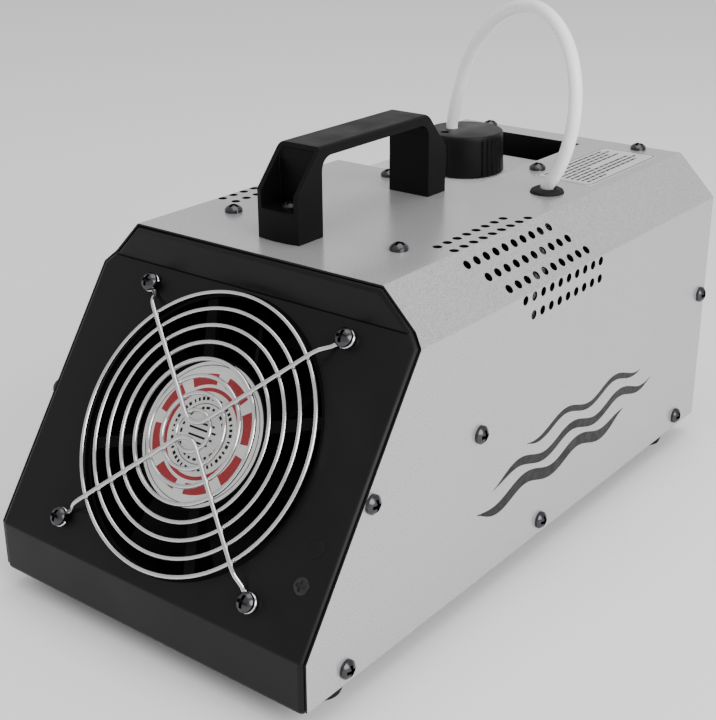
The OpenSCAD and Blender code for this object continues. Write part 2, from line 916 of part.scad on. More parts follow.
module pressure_tube() {
    color("#d6b27a") swept(pressure_points, 1.6, 8, [0, 0, 1]);
}

module grommet() {
    color("#151515")
    translate([grommet_at[0], grommet_at[1], body_h])
        difference() {
            rotate_extrude()
                polygon([[hose_r, -3], [grommet_r, -3], [grommet_r, -cover_t - fit],
                    [grommet_hole_r - fit, -cover_t - fit], [grommet_hole_r - fit, fit],
                    [grommet_r, fit], [grommet_r - 0.5, 1.3], [grommet_r - 2, 2.1],
                    [hose_r + 0.4, 2.4], [hose_r, 2.1]]);
            // The hose leans as it enters, so the upper lip is eased on that side.
            translate([0.9, -0.5, 1.1]) cylinder(h = 4, r = hose_r + 0.6);
        }
}

// ---------------------------------------------------------------- pump

module along_pump(y) {
    translate([pump_x, y, pump_z]) rotate([-90, 0, 0]) children();
}

module pump_body() {
    color("#c9a24a")
    difference() {
        union() {
            along_pump(pump_y0) cylinder(h = 8, r = 2.4);
            along_pump(pump_y0 + 7) cylinder(h = 52, r = 6.5);
            along_pump(pump_y0 + 47) cylinder(h = 16, r = 9);
            along_pump(pump_y0 + 62) cylinder(h = 9, r = 3);
        }
        along_pump(pump_y0 + 12) cylinder(h = 40, r = 4.6);
        along_pump(pump_y0 - 1) cylinder(h = 14, r = 1.3, $fn = 24);
        along_pump(pump_y0 + 51) cylinder(h = 25, r = 1.6, $fn = 24);
    }
}

module pump_coil() {
    color("#26282b")
    difference() {
        translate([pump_x - 16, pump_y0 + 10, pump_z - 15]) cube([32, 32, 30]);
        along_pump(pump_y0 + 9) cylinder(h = 34, r = 6.55);
    }
}

module pump_bracket() {
    w = 40;
    color("#9da0a4")
    difference() {
        translate([pump_x - w / 2, pump_y0 + 8, chassis_t + fit]) cube([w, 36.6, pump_z + 16]);
        translate([pump_x - w / 2 - 1, pump_y0 + 9.5, chassis_t + 1.5]) cube([w + 2, 33.4, 80]);
        along_pump(pump_y0) cylinder(h = 60, r = 6.7);
    }
}

module pump_plunger() {
    color("#b8bbbf")
    difference() {
        along_pump(pump_y0 + 18) cylinder(h = 24, r = 4.55);
        along_pump(pump_y0 + 17) cylinder(h = 30, r = 1.4, $fn = 24);
    }
}

module pump_spring() {
    color("#c9ccd0")
    for (i = [0:3])
        along_pump(pump_y0 + 43.2 + i * 2)
            rotate_extrude($fn = 32)
                translate([3.4, 0]) circle(r = 0.5, $fn = 13);
}

// ---------------------------------------------------------------- heater

module heater_block() {
    mid_x = (heater_x0 + heater_x1) / 2;
    color("#a9acb0")
    difference() {
        translate([heater_x0 + 12, heater_y0 + 10, heater_z0 + 12])
            cube([heater_x1 - heater_x0 - 24, heater_y1 - heater_y0 - 20, heater_z1 - heater_z0 - 24]);
        // Bore of the cartridge heater, and the fluid way through the block.
        translate([mid_x - 16, heater_y0 + 5, 36]) rotate([-90, 0, 0]) cylinder(h = 80, r = 5);
        translate([20, heater_y1 - 20, 33]) rotate([-90, 0, 0]) cylinder(h = 20, r = 1.7, $fn = 24);
        translate([0, heater_y0 + 5, 50]) rotate([-90, 0, 0]) cylinder(h = 40, r = 3);
    }
    color("#7d6f62")
    translate([mid_x - 16, heater_y0 + 10, 36]) rotate([-90, 0, 0]) cylinder(h = 53, r = 4.8);
}

module heater_box(inset) {
    translate([heater_x0 + inset, heater_y0 + inset, heater_z0 + inset])
        cube([heater_x1 - heater_x0 - 2 * inset, heater_y1 - heater_y0 - 2 * inset,
            heater_z1 - heater_z0 - 2 * inset]);
}

module heater_passages() {
    translate([20, heater_y1 - 20, 33]) rotate([-90, 0, 0]) cylinder(h = 30, r = 1.9, $fn = 24);
    translate([0, heater_y0 - 5, 50]) rotate([-90, 0, 0]) cylinder(h = 20, r = 4.05);
}

module heater_insulation() {
    color("#e8dfc4")
    difference() {
        heater_box(1.1);
        translate([heater_x0 + 11.9, heater_y0 + 9.9, heater_z0 + 11.9])
            cube([heater_x1 - heater_x0 - 23.8, heater_y1 - heater_y0 - 19.8,
                heater_z1 - heater_z0 - 11]);
        heater_passages();
    }
}

module heater_shell() {
    color("#b9bcc0")
    difference() {
        heater_box(0);
        heater_box(1);
        heater_passages();
        for (x = [-14, 12])
            translate([x, 160, heater_z1 - 14]) cylinder(h = 20, r = 6.1);
    }
}

module heater_spacers() {
    color("#e9e6dc")
    for (x = [heater_x0 + 8, heater_x1 - 8], y = [heater_y0 + 8, heater_y1 - 8])
        translate([x, y, chassis_t + fit])
            cylinder(h = heater_z0 - chassis_t - 2 * fit, r = 4);
}

module thermostats() {
    color("#2c2c2e")
    for (x = [-14, 12])
        translate([x, 160, heater_z1 - 12]) {
            cylinder(h = 16, r = 6);
            translate([-6, -1.5, 15.9]) cube([2, 3, 7]);
            translate([4, -1.5, 15.9]) cube([2, 3, 7]);
        }
}

module nozzle() {
    color("#c2a15a")
    translate([0, heater_y0 + 10, 50])
        rotate([90, 0, 0])
            difference() {
                union() {
                    cylinder(h = 24, r = 4);
                    translate([0, 0, 24 - tiny]) cylinder(h = 6, r1 = 4, r2 = 2.6);
                }
                translate([0, 0, -1]) cylinder(h = 40, r = 1.2, $fn = 24);
            }
}

// ---------------------------------------------------------------- electronics

module power_board() {
    color("#2f6b3c")
    difference() {
        translate([board_x0, board_y0, board_z]) cube([board_x1 - board_x0, board_y1 - board_y0, 1.6]);
        for (x = [board_x0 + 4, board_x1 - 4], y = [board_y0 + 4, board_y1 - 4])
            translate([x, y, board_z - 1]) cylinder(h = 5, r = 1.6, $fn = 24);
    }
}

module board_parts() {
    z = board_z + 1.6;
    color("#3b5f9a") translate([46, 132, z]) cube([28, 32, 26]);
    color("#2a4fa8") translate([47, 169, z]) cube([12, 17, 15]);
    color("#2f8f4f") translate([57, 190, z]) cube([12, 9, 11]);
    color("#2b2b2b") for (x = [65, 71.5]) translate([x, 173, z]) cylinder(h = 14, r = 3);
}

module board_spacers() {
    color("#c9a24a")
    for (x = [board_x0 + 4, board_x1 - 4], y = [board_y0 + 4, board_y1 - 4])
        translate([x, y, chassis_t + fit]) {
            cylinder(h = board_z - chassis_t - 2 * fit, r = 3, $fn = 6);
            translate([0, 0, board_z - chassis_t - 1]) cylinder(h = 3.6, r = 1.5, $fn = 24);
            translate([0, 0, board_z - chassis_t + 1.62]) cylinder(h = 1.6, r = 2.8, $fn = 24);
        }
}

module control_board() {
    color("#2f6b3c")
    difference() {
        translate([24, control_y - 1.6, 86]) cube([50, 1.6, 42]);
        for (p = knob_places)
            translate([p[0], control_y + 2, p[1]]) rotate([90, 0, 0]) cylinder(h = 8, r = 1.2, $fn = 24);
    }
}

module potentiometers() {
    color("#9da0a4")
    for (p = knob_places)
        on_rear(p) {
            difference() {
                union() {
                    translate([0, 0, -17]) cylinder(h = 9, r = 8.2);
                    translate([0, 0, -8.1]) cylinder(h = 11, r = 3.5);
                }
                translate([0, 0, -9]) cylinder(h = 20, r = 3.03, $fn = 32);
            }
            difference() {
                translate([0, 0, 0.05]) cylinder(h = 2, r = 5.4, $fn = 6);
                cylinder(h = 5, r = 3.5);
            }
        }
}

module knob(at) {
    on_rear(at)
        difference() {
            union() {
                translate([0, 0, 3.4]) cylinder(h = 2.6, r = 8.4);
                translate([0, 0, 5.9]) cylinder(h = knob_out - 5.9, r1 = 7.4, r2 = 6.8);
                translate([0, 0, -7]) cylinder(h = 12, r = 3);
            }
            for (i = [0:17])
                rotate([0, 0, i * 20])
                    translate([7.7, 0, 6.4]) cylinder(h = 20, r = 0.7, $fn = 13);
            translate([-0.5, 2, knob_out - 0.5]) cube([1, 5, 2]);
        }
}

module output_knob() {
    color("#18191a") knob(knob_places[0]);
}

module fan_knob() {
    color("#18191a") knob(knob_places[1]);
}

module haze_button() {
    color("#a8242a")
    on_rear(button_at)
        union() {
            translate([0, 0, -2]) cylinder(h = 6, r = 5.9);
            translate([0, 0, -3.1]) cylinder(h = 1.6, r = 7.4);
        }
}

module button_spring() {
    color("#c9ccd0")
    on_rear(button_at)
        for (i = [0:5])
            translate([0, 0, -3.8 - i * 2.4])
                rotate_extrude($fn = 32)
                    translate([4, 0]) circle(r = 0.5, $fn = 13);
}

module status_light() {
    color("#3fae4d")
    on_rear(light_at) {
        translate([0, 0, -9]) cylinder(h = 9.5, r = 2.5);
        translate([0, 0, 0.5]) sphere(r = 2.5, $fn = 32);
    }
}

module remote_socket() {
    color("#2a2b2d")
    on_rear(remote_at)
        difference() {
            union() {
                translate([0, 0, -14]) cylinder(h = 15, r = 7.5);
                translate([0, 0, 0.05]) cylinder(h = 1.6, r = 9.6);
            }
            translate([0, 0, -8]) cylinder(h = 12, r = 6.1);
            for (a = [0:45:180])
                rotate([0, 0, a])
                    translate([3.6, 0, -12]) cylinder(h = 6, r = 0.7, $fn = 16);
        }
}

module power_inlet() {
    color("#1d1e20")
    on_rear(inlet_at)
        difference() {
            union() {
                translate([-14, -16, -26]) cube([28, 32, 27]);
                translate([-20, -19, 0.05]) cube([40, 38, 2]);
            }
            // Socket for the mains connector, its three pins, and the slot of the fuse drawer.
            difference() {
                translate([-12, -14.5, -18]) cube([24, 17, 24]);
                for (x = [-7, 0, 7])
                    translate([x - 1, (x == 0 ? -4.5 : -8.5), -19]) cube([2, 4, 15]);
            }
            translate([-12, 5, -22]) cube([24, 9, 28]);
        }
}

module fuse_drawer() {
    color("#26282a")
    on_rear(inlet_at)
        difference() {
            union() {
                translate([-11.7, 5.3, -20]) cube([23.4, 8.4, 21.8]);
                translate([-12.6, 4.6, 2.35]) cube([25.2, 9.8, 1.4]);
                translate([-4, 7, 1]) cube([8, 5, 2]);
            }
            translate([-9, 6.8, -18]) cube([18, 8, 14]);
            translate([-3, 3.6, 3.1]) cube([6, 1.6, 2]);
        }
}

module switch_body() {
    color("#17181a")
    on_rear(switch_at)
        difference() {
            union() {
                translate([-6.5, -10.5, -18]) cube([13, 21, 19]);
                translate([-7.8, -12.6, 0.05]) cube([15.6, 25.2, 1.8]);
            }
            translate([-5.2, -9.4, -12]) cube([10.4, 18.8, 20]);
            translate([-7, 0, -1]) rotate([0, 90, 0]) cylinder(h = 14, r = 1.25, $fn = 24);
        }
}

// Rocker: two faces at a shallow angle round its pin, resting with the upper half out.
module power_rocker() {
    color("#b5232b")
    on_rear(switch_at)
        translate([0, 0, -1])
            rotate([11, 0, 0]) {
                intersection() {
                    translate([-4.9, 0, 0])
                        rotate([90, 0, 90])
                            linear_extrude(9.8)
                                polygon([[-8.6, -3], [0, -6], [8.6, -3], [8.6, 2.6], [0, 3.6], [-8.6, 2.6]]);
                    rotate([0, 90, 0]) cylinder(h = 20, r = 8.9, center = true, $fn = 64);
                }
                translate([-6.4, 0, 0]) rotate([0, 90, 0]) cylinder(h = 12.8, r = 1.2, $fn = 24);
            }
}

place() cover();
place() chassis();
place() rear_panel();
place() mid_frame();
place() handle();
place() handle_screws();
place() handle_nuts();
place() cover_screws_top();
place() cover_screws_right();
place() cover_screws_left();
place() lip_screw();
place() tank_bay();
place() feet();
place() foot_screws();
place() fan_frame();
place() fan_label();
place() fan_stator();
place() fan_bearings();
place() fan_rotor();
place() fan_shaft();
place() guard_rings();
place() guard_spokes();
place() guard_screws();
place() guard_nuts();
place() tank();
place() tank_cap();
place() cap_seal();
place() dip_tube();
place() suction_filter();
place() feed_hose();
place() grommet();
place() inner_hose();
place() pump_body();
place() pump_coil();
place() pump_bracket();
place() pump_plunger();
place() pump_spring();
place() pressure_tube();
place() heater_block();
place() heater_insulation();
place() heater_shell();
place() heater_spacers();
place() thermostats();
place() nozzle();
place() power_board();
place() board_parts();
place() board_spacers();
place() control_board();
place() potentiometers();
place() output_knob();
place() fan_knob();
place() haze_button();
place() button_spring();
place() status_light();
place() remote_socket();
place() power_inlet();
place() fuse_drawer();
place() switch_body();
place() power_rocker();
place() rating_plate();
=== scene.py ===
import json
from collections import namedtuple
from math import atan2, cos, degrees, pi, radians, sin, sqrt, tan

import bpy
from mathutils import Matrix, Vector
from mathutils.geometry import delaunay_2d_cdt


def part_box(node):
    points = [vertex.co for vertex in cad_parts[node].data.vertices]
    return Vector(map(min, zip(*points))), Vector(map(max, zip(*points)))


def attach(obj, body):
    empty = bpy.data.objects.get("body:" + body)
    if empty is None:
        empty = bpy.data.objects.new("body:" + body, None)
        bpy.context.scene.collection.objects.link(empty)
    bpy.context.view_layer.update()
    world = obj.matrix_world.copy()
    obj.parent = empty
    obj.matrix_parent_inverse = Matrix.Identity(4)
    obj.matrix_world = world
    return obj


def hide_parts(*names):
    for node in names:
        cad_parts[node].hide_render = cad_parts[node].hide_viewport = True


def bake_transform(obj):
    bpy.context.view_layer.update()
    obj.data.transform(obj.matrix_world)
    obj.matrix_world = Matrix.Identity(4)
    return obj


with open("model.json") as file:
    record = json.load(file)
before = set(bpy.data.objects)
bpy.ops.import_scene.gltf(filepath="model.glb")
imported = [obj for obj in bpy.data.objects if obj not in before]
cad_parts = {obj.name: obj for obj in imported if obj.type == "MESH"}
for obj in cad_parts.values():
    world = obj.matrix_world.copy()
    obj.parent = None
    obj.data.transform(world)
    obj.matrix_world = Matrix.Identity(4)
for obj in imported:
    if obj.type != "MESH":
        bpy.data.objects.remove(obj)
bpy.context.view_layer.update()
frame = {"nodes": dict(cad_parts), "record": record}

# The looks of a haze machine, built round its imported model. Lengths are in metres, and MM
# turns a length in millimetres into metres. Case coordinates have X = 0 on the centre line,
# Y = 0 at the front lip and Z = 0 under the case floor.
MM = 0.001

FRONT_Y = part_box("chassis")[0][1]
FLOOR_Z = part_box("chassis")[0][2]
CASE_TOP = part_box("cover")[1][2] - FLOOR_Z
CASE_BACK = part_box("cover")[1][1] - FRONT_Y
HALF_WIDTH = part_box("cover")[1][0]
CHAMFER = 19.8 * MM
LIP_HEIGHT = 23 * MM
SLOPE_RUN = 72 * MM
SLOPE_TOP = 127 * MM
SLOPE_ANGLE = atan2(SLOPE_TOP - LIP_HEIGHT, SLOPE_RUN)
SLOPE_OUT = Vector((0, -sin(SLOPE_ANGLE), cos(SLOPE_ANGLE)))
FAN_X = 1 * MM
FAN_UP = 65 * MM
FAN_HOLE = 59.3 * MM


def at(x, y, z):
    """A point in case coordinates, moved into the model's frame."""
    return Vector((x, FRONT_Y + y, FLOOR_Z + z))


def on_slope(x, up, out):
    """A point on the sloped front: across, up the slope from the lip, and out of it."""
    return at(x, up * cos(SLOPE_ANGLE) - out * sin(SLOPE_ANGLE),
              LIP_HEIGHT + up * sin(SLOPE_ANGLE) + out * cos(SLOPE_ANGLE))


def on_fan(x, up, out):
    """A point in the fan's own frame, zero at its centre on the sloped front."""
    return on_slope(FAN_X + x, FAN_UP + up, out)


# ------------------------------------------------------------------ camera, floor and light

CAMERA_AZIMUTH = radians(38.16)
CAMERA_ELEVATION = radians(22.91)
CAMERA_ROLL = radians(-0.39)
CAMERA_PLACE = (0.34038, -0.46137, 0.31424)
CAMERA_LENS = 65.44
SENSOR_WIDTH = 36
NEAREST_SEEN = 0.02
WORLD_STRENGTH = 0.8
MACHINE_MIDDLE = Vector((0, 0, 0.08))
# The name, place, side length and power of each softbox.
SOFTBOXES = (("key", (1.3, -0.35, 0.75), 1.0, 20), ("top", (0.1, 0.2, 1.6), 1.2, 10))
FLOOR_REACH = 4


def add_camera():
    back = Vector((sin(CAMERA_AZIMUTH) * cos(CAMERA_ELEVATION),
                   -cos(CAMERA_AZIMUTH) * cos(CAMERA_ELEVATION), sin(CAMERA_ELEVATION)))
    level = Vector((cos(CAMERA_AZIMUTH), sin(CAMERA_AZIMUTH), 0))
    up = back.cross(level)
    camera = bpy.data.objects.new("camera", bpy.data.cameras.new("camera"))
    camera.data.lens = CAMERA_LENS
    camera.data.sensor_width = SENSOR_WIDTH
    camera.data.clip_start = NEAREST_SEEN
    axes = Matrix((level * cos(CAMERA_ROLL) + up * sin(CAMERA_ROLL),
                   up * cos(CAMERA_ROLL) - level * sin(CAMERA_ROLL), back))
    camera.matrix_world = Matrix.Translation(CAMERA_PLACE) @ axes.transposed().to_4x4()
    bpy.context.collection.objects.link(camera)
    bpy.context.scene.camera = camera


def add_softbox(name, place, side, power):
    """A square light that faces the middle of the machine."""
    lamp = bpy.data.lights.new(name, "AREA")
    lamp.shape = "RECTANGLE"
    lamp.size = side
    lamp.size_y = side
    lamp.energy = power
    softbox = bpy.data.objects.new(name, lamp)
    softbox.location = place
    facing = MACHINE_MIDDLE - Vector(place)
    softbox.rotation_euler = facing.to_track_quat("-Z", "Y").to_euler()
    bpy.context.collection.objects.link(softbox)


def add_world():
    world = bpy.data.worlds.new("studio")
    world.use_nodes = True
    background = world.node_tree.nodes["Background"]
    background.inputs["Color"].default_value = (1, 1, 1, 1)
    background.inputs["Strength"].default_value = WORLD_STRENGTH
    bpy.context.scene.world = world


def add_floor():
    reach = FLOOR_REACH
    corners = [(-reach, -reach, 0), (reach, -reach, 0), (reach, reach, 0), (-reach, reach, 0)]
    floor = new_piece("floor", corners, [(0, 1, 2, 3)], "pale_floor", body=None)


# ------------------------------------------------------------------ materials

# The range that most of a noise texture's values lie in.
NOISE_LOW = 0.35
NOISE_HIGH = 0.65
# A colour Mix node has several sockets of each name, so these are taken by their number.
MIX_UNDER = 6
MIX_OVER = 7
MIX_RESULT = 2
EDGE_SAMPLES = 4


class Paint:
    """A node material with a Principled shader, and the textures that shape it."""

    def __init__(self, name, colour, roughness, metallic=0.0):
        self.name = name
        self.material = bpy.data.materials.new(name)
        self.material.use_nodes = True
        self.tree = self.material.node_tree
        self.shader = self.tree.nodes["Principled BSDF"]
        self.colour = colour
        self.set("Base Color", (*colour, 1))
        self.set("Roughness", roughness)
        self.set("Metallic", metallic)
        self.coordinates = self.tree.nodes.new("ShaderNodeTexCoord").outputs["Object"]

    def set(self, socket, value):
        self.shader.inputs[socket].default_value = value
        return self

    def join(self, output, target):
        self.tree.links.new(output, target)

    def stretched(self, scale):
        """Object coordinates scaled differently along each axis."""
        node = self.tree.nodes.new("ShaderNodeMapping")
        node.inputs["Scale"].default_value = scale
        self.join(self.coordinates, node.inputs["Vector"])
        return node.outputs["Vector"]

    def noise(self, grain, detail=2.0, vector=None):
        """Noise whose features are about grain metres across."""
        node = self.tree.nodes.new("ShaderNodeTexNoise")
        node.inputs["Scale"].default_value = 1 / grain
        node.inputs["Detail"].default_value = detail
        self.join(vector or self.coordinates, node.inputs["Vector"])
        return node.outputs["Fac"]

    def spots(self, grain):
        """The distance to the nearest of many scattered points, about grain metres apart."""
        node = self.tree.nodes.new("ShaderNodeTexVoronoi")
        node.inputs["Scale"].default_value = 1 / grain
        self.join(self.coordinates, node.inputs["Vector"])
        return node.outputs["Distance"]

    def span(self, value, low, high, from_low=NOISE_LOW, from_high=NOISE_HIGH):
        """A value between low and high as the given one goes between its own limits."""
        node = self.tree.nodes.new("ShaderNodeMapRange")
        node.inputs["From Min"].default_value = from_low
        node.inputs["From Max"].default_value = from_high
        node.inputs["To Min"].default_value = low
        node.inputs["To Max"].default_value = high
        self.join(value, node.inputs["Value"])
        return node.outputs["Result"]

    def rough(self, value, low, high):
        """Roughness between low and high, as a noise value goes through its range."""
        self.join(self.span(value, low, high), self.shader.inputs["Roughness"])
        return self

    def tint(self, factor, colour, under=None):
        """Lays a second colour over the first where factor is 1, and returns the result."""
        node = self.tree.nodes.new("ShaderNodeMix")
        node.data_type = "RGBA"
        self.join(factor, node.inputs["Factor"])
        if under is None:
            node.inputs[MIX_UNDER].default_value = (*self.colour, 1)
        else:
            self.join(under, node.inputs[MIX_UNDER])
        node.inputs[MIX_OVER].default_value = (*colour, 1)
        self.join(node.outputs[MIX_RESULT], self.shader.inputs["Base Color"])
        return node.outputs[MIX_RESULT]

    def bumps(self, layers, edge=0.0):
        """Bumps of (height, distance) layers, over edges softened to a radius."""
        normal = None
        if edge:
            soft = self.tree.nodes.new("ShaderNodeBevel")
            soft.samples = EDGE_SAMPLES
            soft.inputs["Radius"].default_value = edge
            normal = soft.outputs["Normal"]
        for height, distance in layers:
            node = self.tree.nodes.new("ShaderNodeBump")
            node.inputs["Strength"].default_value = 1.0
            node.inputs["Distance"].default_value = distance
            self.join(height, node.inputs["Height"])
            if normal:
                self.join(normal, node.inputs["Normal"])
            normal = node.outputs["Normal"]
        self.join(normal, self.shader.inputs["Normal"])
        return self


# The size of the metal flakes in silver paint, and the range that their noise is cut to.
FLAKE = 0.5 * MM
FLAKE_RANGE = (0.4, 0.62)
MOULD_GRAIN = 0.35 * MM
MOULD_DEPTH = 0.02 * MM
MOULD_EDGE = 0.4 * MM
RUBBED_PATCH = 18 * MM
METAL_GRAIN = 0.3 * MM
METAL_STAIN = 9 * MM
CLOUDINESS = 0.6


def silver_paint():
    paint = Paint("silver_paint", (0.55, 0.55, 0.56), 0.24, 0.45)
    flakes = paint.noise(FLAKE, 3)
    handled = paint.noise(45 * MM, 4)
    shade = paint.tint(paint.span(flakes, 0, 1, *FLAKE_RANGE), (0.36, 0.36, 0.37))
    paint.tint(paint.span(handled, 0, 0.2), (0.44, 0.44, 0.44), shade)
    paint.rough(handled, 0.19, 0.26)
    return paint.bumps([(paint.noise(0.9 * MM, 2), 0.03 * MM), (flakes, 0.014 * MM)])


def black_paint():
    paint = Paint("black_paint", (0.003, 0.003, 0.0035), 0.42)
    paint.set("Specular IOR Level", 0.2)
    grain = paint.noise(0.6 * MM, 2)
    dusty = paint.noise(30 * MM, 5)
    paint.tint(paint.span(dusty, 0, 0.5), (0.006, 0.006, 0.006))
    paint.rough(dusty, 0.36, 0.46)
    return paint.bumps([(grain, 0.03 * MM)])


def moulded(name, colour, low, high, gloss=0.5):
    """Moulded plastic with a fine etched grain and softly rubbed patches. Its roughness is between
    low and high, and gloss is how strongly it reflects."""
    paint = Paint(name, colour, high)
    paint.set("Specular IOR Level", gloss)
    worn = paint.noise(RUBBED_PATCH, 4)
    paint.tint(paint.span(worn, 0, 0.35), tuple(c * 1.6 + 0.002 for c in colour))
    paint.rough(worn, low, high)
    return paint.bumps([(paint.noise(MOULD_GRAIN, 2), MOULD_DEPTH)], MOULD_EDGE)


def metal(name, colour, low, high, stretch=(1, 1, 1), depth=0.006 * MM, edge=0.15 * MM):
    """Bare or plated metal with fine grain, brushed where stretch differs between the axes."""
    paint = Paint(name, colour, high, 1.0)
    brushed = paint.noise(METAL_GRAIN, 3, paint.stretched(stretch))
    stained = paint.noise(METAL_STAIN, 4)
    paint.tint(paint.span(stained, 0, 0.4), tuple(c * 0.75 for c in colour))
    paint.rough(brushed, low, high)
    return paint.bumps([(brushed, depth)], edge)


def rubber():
    paint = Paint("rubber", (0.005, 0.005, 0.005), 0.75)
    paint.set("Specular IOR Level", 0.25)
    dust = paint.noise(4 * MM, 5)
    paint.tint(paint.span(dust, 0, 0.5), (0.014, 0.014, 0.013))
    paint.rough(dust, 0.6, 0.85)
    return paint.bumps([(paint.noise(0.4 * MM), 0.04 * MM)], 0.5 * MM)


def milky(name, colour, roughness, depth, clear, ripple):
    """Cloudy plastic that lets light in: depth is how far, clear how much goes straight through,
    and ripple how deep the waves in its surface are."""
    paint = Paint(name, colour, roughness)
    paint.set("Subsurface Weight", CLOUDINESS)
    paint.set("Subsurface Radius", (depth, depth, depth))
    paint.set("Subsurface Scale", 1.0)
    paint.set("Transmission Weight", clear)
    cloud = paint.noise(6 * MM, 3)
    paint.tint(paint.span(cloud, 0, 0.4), tuple(c * 0.9 for c in colour))
    paint.rough(cloud, roughness * 0.8, roughness * 1.2)
    return paint.bumps([(paint.noise(4 * MM), ripple)])


def mineral_wool():
    paint = Paint("mineral_wool", (0.62, 0.55, 0.38), 0.95)
    fibres = paint.noise(1.2 * MM, 6, paint.stretched((1, 0.25, 1)))
    paint.tint(paint.span(fibres, 0, 1), (0.42, 0.36, 0.24))
    return paint.bumps([(fibres, 0.5 * MM)])


def circuit_board():
    paint = Paint("circuit_board", (0.02, 0.11, 0.04), 0.35)
    tracks = paint.spots(5 * MM)
    paint.tint(paint.span(tracks, 1, 0, 0.3, 0.34), (0.03, 0.2, 0.07))
    paint.rough(paint.noise(8 * MM), 0.28, 0.4)
    return paint.bumps([(tracks, 0.03 * MM)])


def clear_label():
    paint = Paint("clear_label", (0.62, 0.62, 0.63), 0.22, 0.15)
    flakes = paint.noise(FLAKE, 3)
    paint.tint(paint.span(flakes, 0, 1, *FLAKE_RANGE), (0.55, 0.55, 0.56))
    paint.rough(paint.noise(12 * MM, 4), 0.18, 0.28)
    return paint.bumps([(paint.noise(7 * MM), 0.02 * MM)])


def printed_film():
    paint = Paint("printed_film", (0.72, 0.72, 0.71), 0.3)
    faded = paint.noise(9 * MM, 4)
    paint.tint(paint.span(faded, 0, 0.4), (0.6, 0.6, 0.58))
    paint.rough(faded, 0.24, 0.36)
    return paint.bumps([(paint.noise(5 * MM), 0.03 * MM)])


def ink(name, colour):
    paint = Paint(name, colour, 0.4)
    paint.set("Specular IOR Level", 0.2)
    thin = paint.noise(0.8 * MM, 3)
    paint.tint(paint.span(thin, 0, 0.5), tuple(c * 1.4 + 0.004 for c in colour))
    paint.rough(paint.noise(3 * MM), 0.32, 0.48)
    return paint.bumps([(thin, 0.005 * MM)])


def pale_floor():
    paint = Paint("pale_floor", (0.93, 0.93, 0.93), 0.6)
    paint.tint(paint.span(paint.noise(0.4, 2), 0, 0.3), (0.91, 0.91, 0.91))
    return paint.rough(paint.noise(0.2), 0.55, 0.65)


MATERIALS = {paint.name: paint.material for paint in (
    silver_paint(),
    black_paint(),
    metal("plain_steel", (0.50, 0.50, 0.51), 0.25, 0.42, (1, 8, 1)),
    # Near-black steel: painted shade for the inner frame, heater shell and tank bay inside the case.
    metal("painted_shade_steel", (0.035, 0.034, 0.033), 0.45, 0.65),
    metal("dark_screws", (0.075, 0.075, 0.08), 0.16, 0.3),
    metal("guard_chrome", (0.66, 0.66, 0.67), 0.06, 0.14, edge=0.3 * MM),
    metal("brass", (0.60, 0.42, 0.18), 0.22, 0.38, (1, 1, 6)),
    metal("bright_steel", (0.62, 0.62, 0.63), 0.12, 0.24, (1, 1, 8)),
    metal("aluminium", (0.62, 0.62, 0.63), 0.35, 0.55, depth=0.03 * MM),
    moulded("black_screw", (0.008, 0.008, 0.008), 0.3, 0.45, 0.4),
    moulded("handle_plastic", (0.0025, 0.0025, 0.003), 0.38, 0.5, 0.1),
    moulded("black_plastic", (0.003, 0.003, 0.0035), 0.34, 0.5, 0.2),
    moulded("fan_plastic", (0.0015, 0.0015, 0.0015), 0.4, 0.55, 0.08),
    moulded("red_plastic", (0.5, 0.012, 0.012), 0.15, 0.28),
    moulded("green_lens", (0.05, 0.4, 0.08), 0.08, 0.16),
    moulded("board_components", (0.03, 0.06, 0.2), 0.3, 0.45),
    rubber(),
    milky("tank_plastic", (0.62, 0.62, 0.61), 0.35, 4 * MM, 0.1, 0.05 * MM),
    milky("hose_plastic", (0.94, 0.94, 0.94), 0.25, 3 * MM, 0.0, 0.01 * MM),
    metal("copper_core", (0.55, 0.27, 0.12), 0.3, 0.5, (1, 1, 12)),
    mineral_wool(),
    circuit_board(),
    clear_label(),
    printed_film(),
    ink("black_ink", (0.004, 0.004, 0.0045)),
    ink("red_ink", (0.30, 0.035, 0.04)),
    pale_floor())}
# The slots and nodes whose look isn't the material named after their slot.
SLOT_LOOKS = {"label_print": "printed_film"}
# The inner frame, heater shell and tank bay take the near-black steel, painted shade for the dark inside of
# the case.
NODE_LOOKS = {"rating_plate": "clear_label", "fan_frame": "fan_plastic", "fan_rotor": "fan_plastic",
              "mid_frame": "painted_shade_steel", "heater_shell": "painted_shade_steel", "tank_bay": "painted_shade_steel"}


def dress_frame():
    """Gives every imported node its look, from its name or else from its material slot."""
    for part in frame["record"]["subparts"]:
        slot = part["material_slot"]
        look = NODE_LOOKS.get(part["node"], SLOT_LOOKS.get(slot, slot))
        for holder in frame["nodes"][part["node"]].material_slots:
            holder.material = MATERIALS[look]


# ------------------------------------------------------------------ mesh helpers

def new_piece(name, points, faces, look, body="housing", smooth=True):
    mesh = bpy.data.meshes.new(name)
    mesh.from_pydata(points, [], faces)
    mesh.materials.append(MATERIALS[look])
    if smooth:
        mesh.shade_smooth()
    else:
        mesh.shade_flat()
    piece = bpy.data.objects.new(name, mesh)
    bpy.context.collection.objects.link(piece)
    if body:
        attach(piece, body)
    return piece


def smooth_path(points, steps):
    """More points on one smooth curve through the given ones."""
    path = []
    last = len(points) - 1
    for i in range(last):
        a, b, c, d = (points[min(max(k, 0), last)] for k in (i - 1, i, i + 1, i + 2))
        for k in range(steps):
            t = k / steps
            path.append(0.5 * (2 * b + (c - a) * t + (2 * a - 5 * b + 4 * c - d) * t ** 2
                               + (3 * b - a - 3 * c + d) * t ** 3))
    return path + [points[last]]


def band_faces(first, second, count):
    """The faces between two closed rings of points, from where each ring's points start."""
    return [(first + k, first + (k + 1) % count, second + (k + 1) % count, second + k)
            for k in range(count)]


def direction_at(path, i):
    """The direction of a path at one of its points."""
    return (path[min(i + 1, len(path) - 1)] - path[max(i - 1, 0)]).normalized()


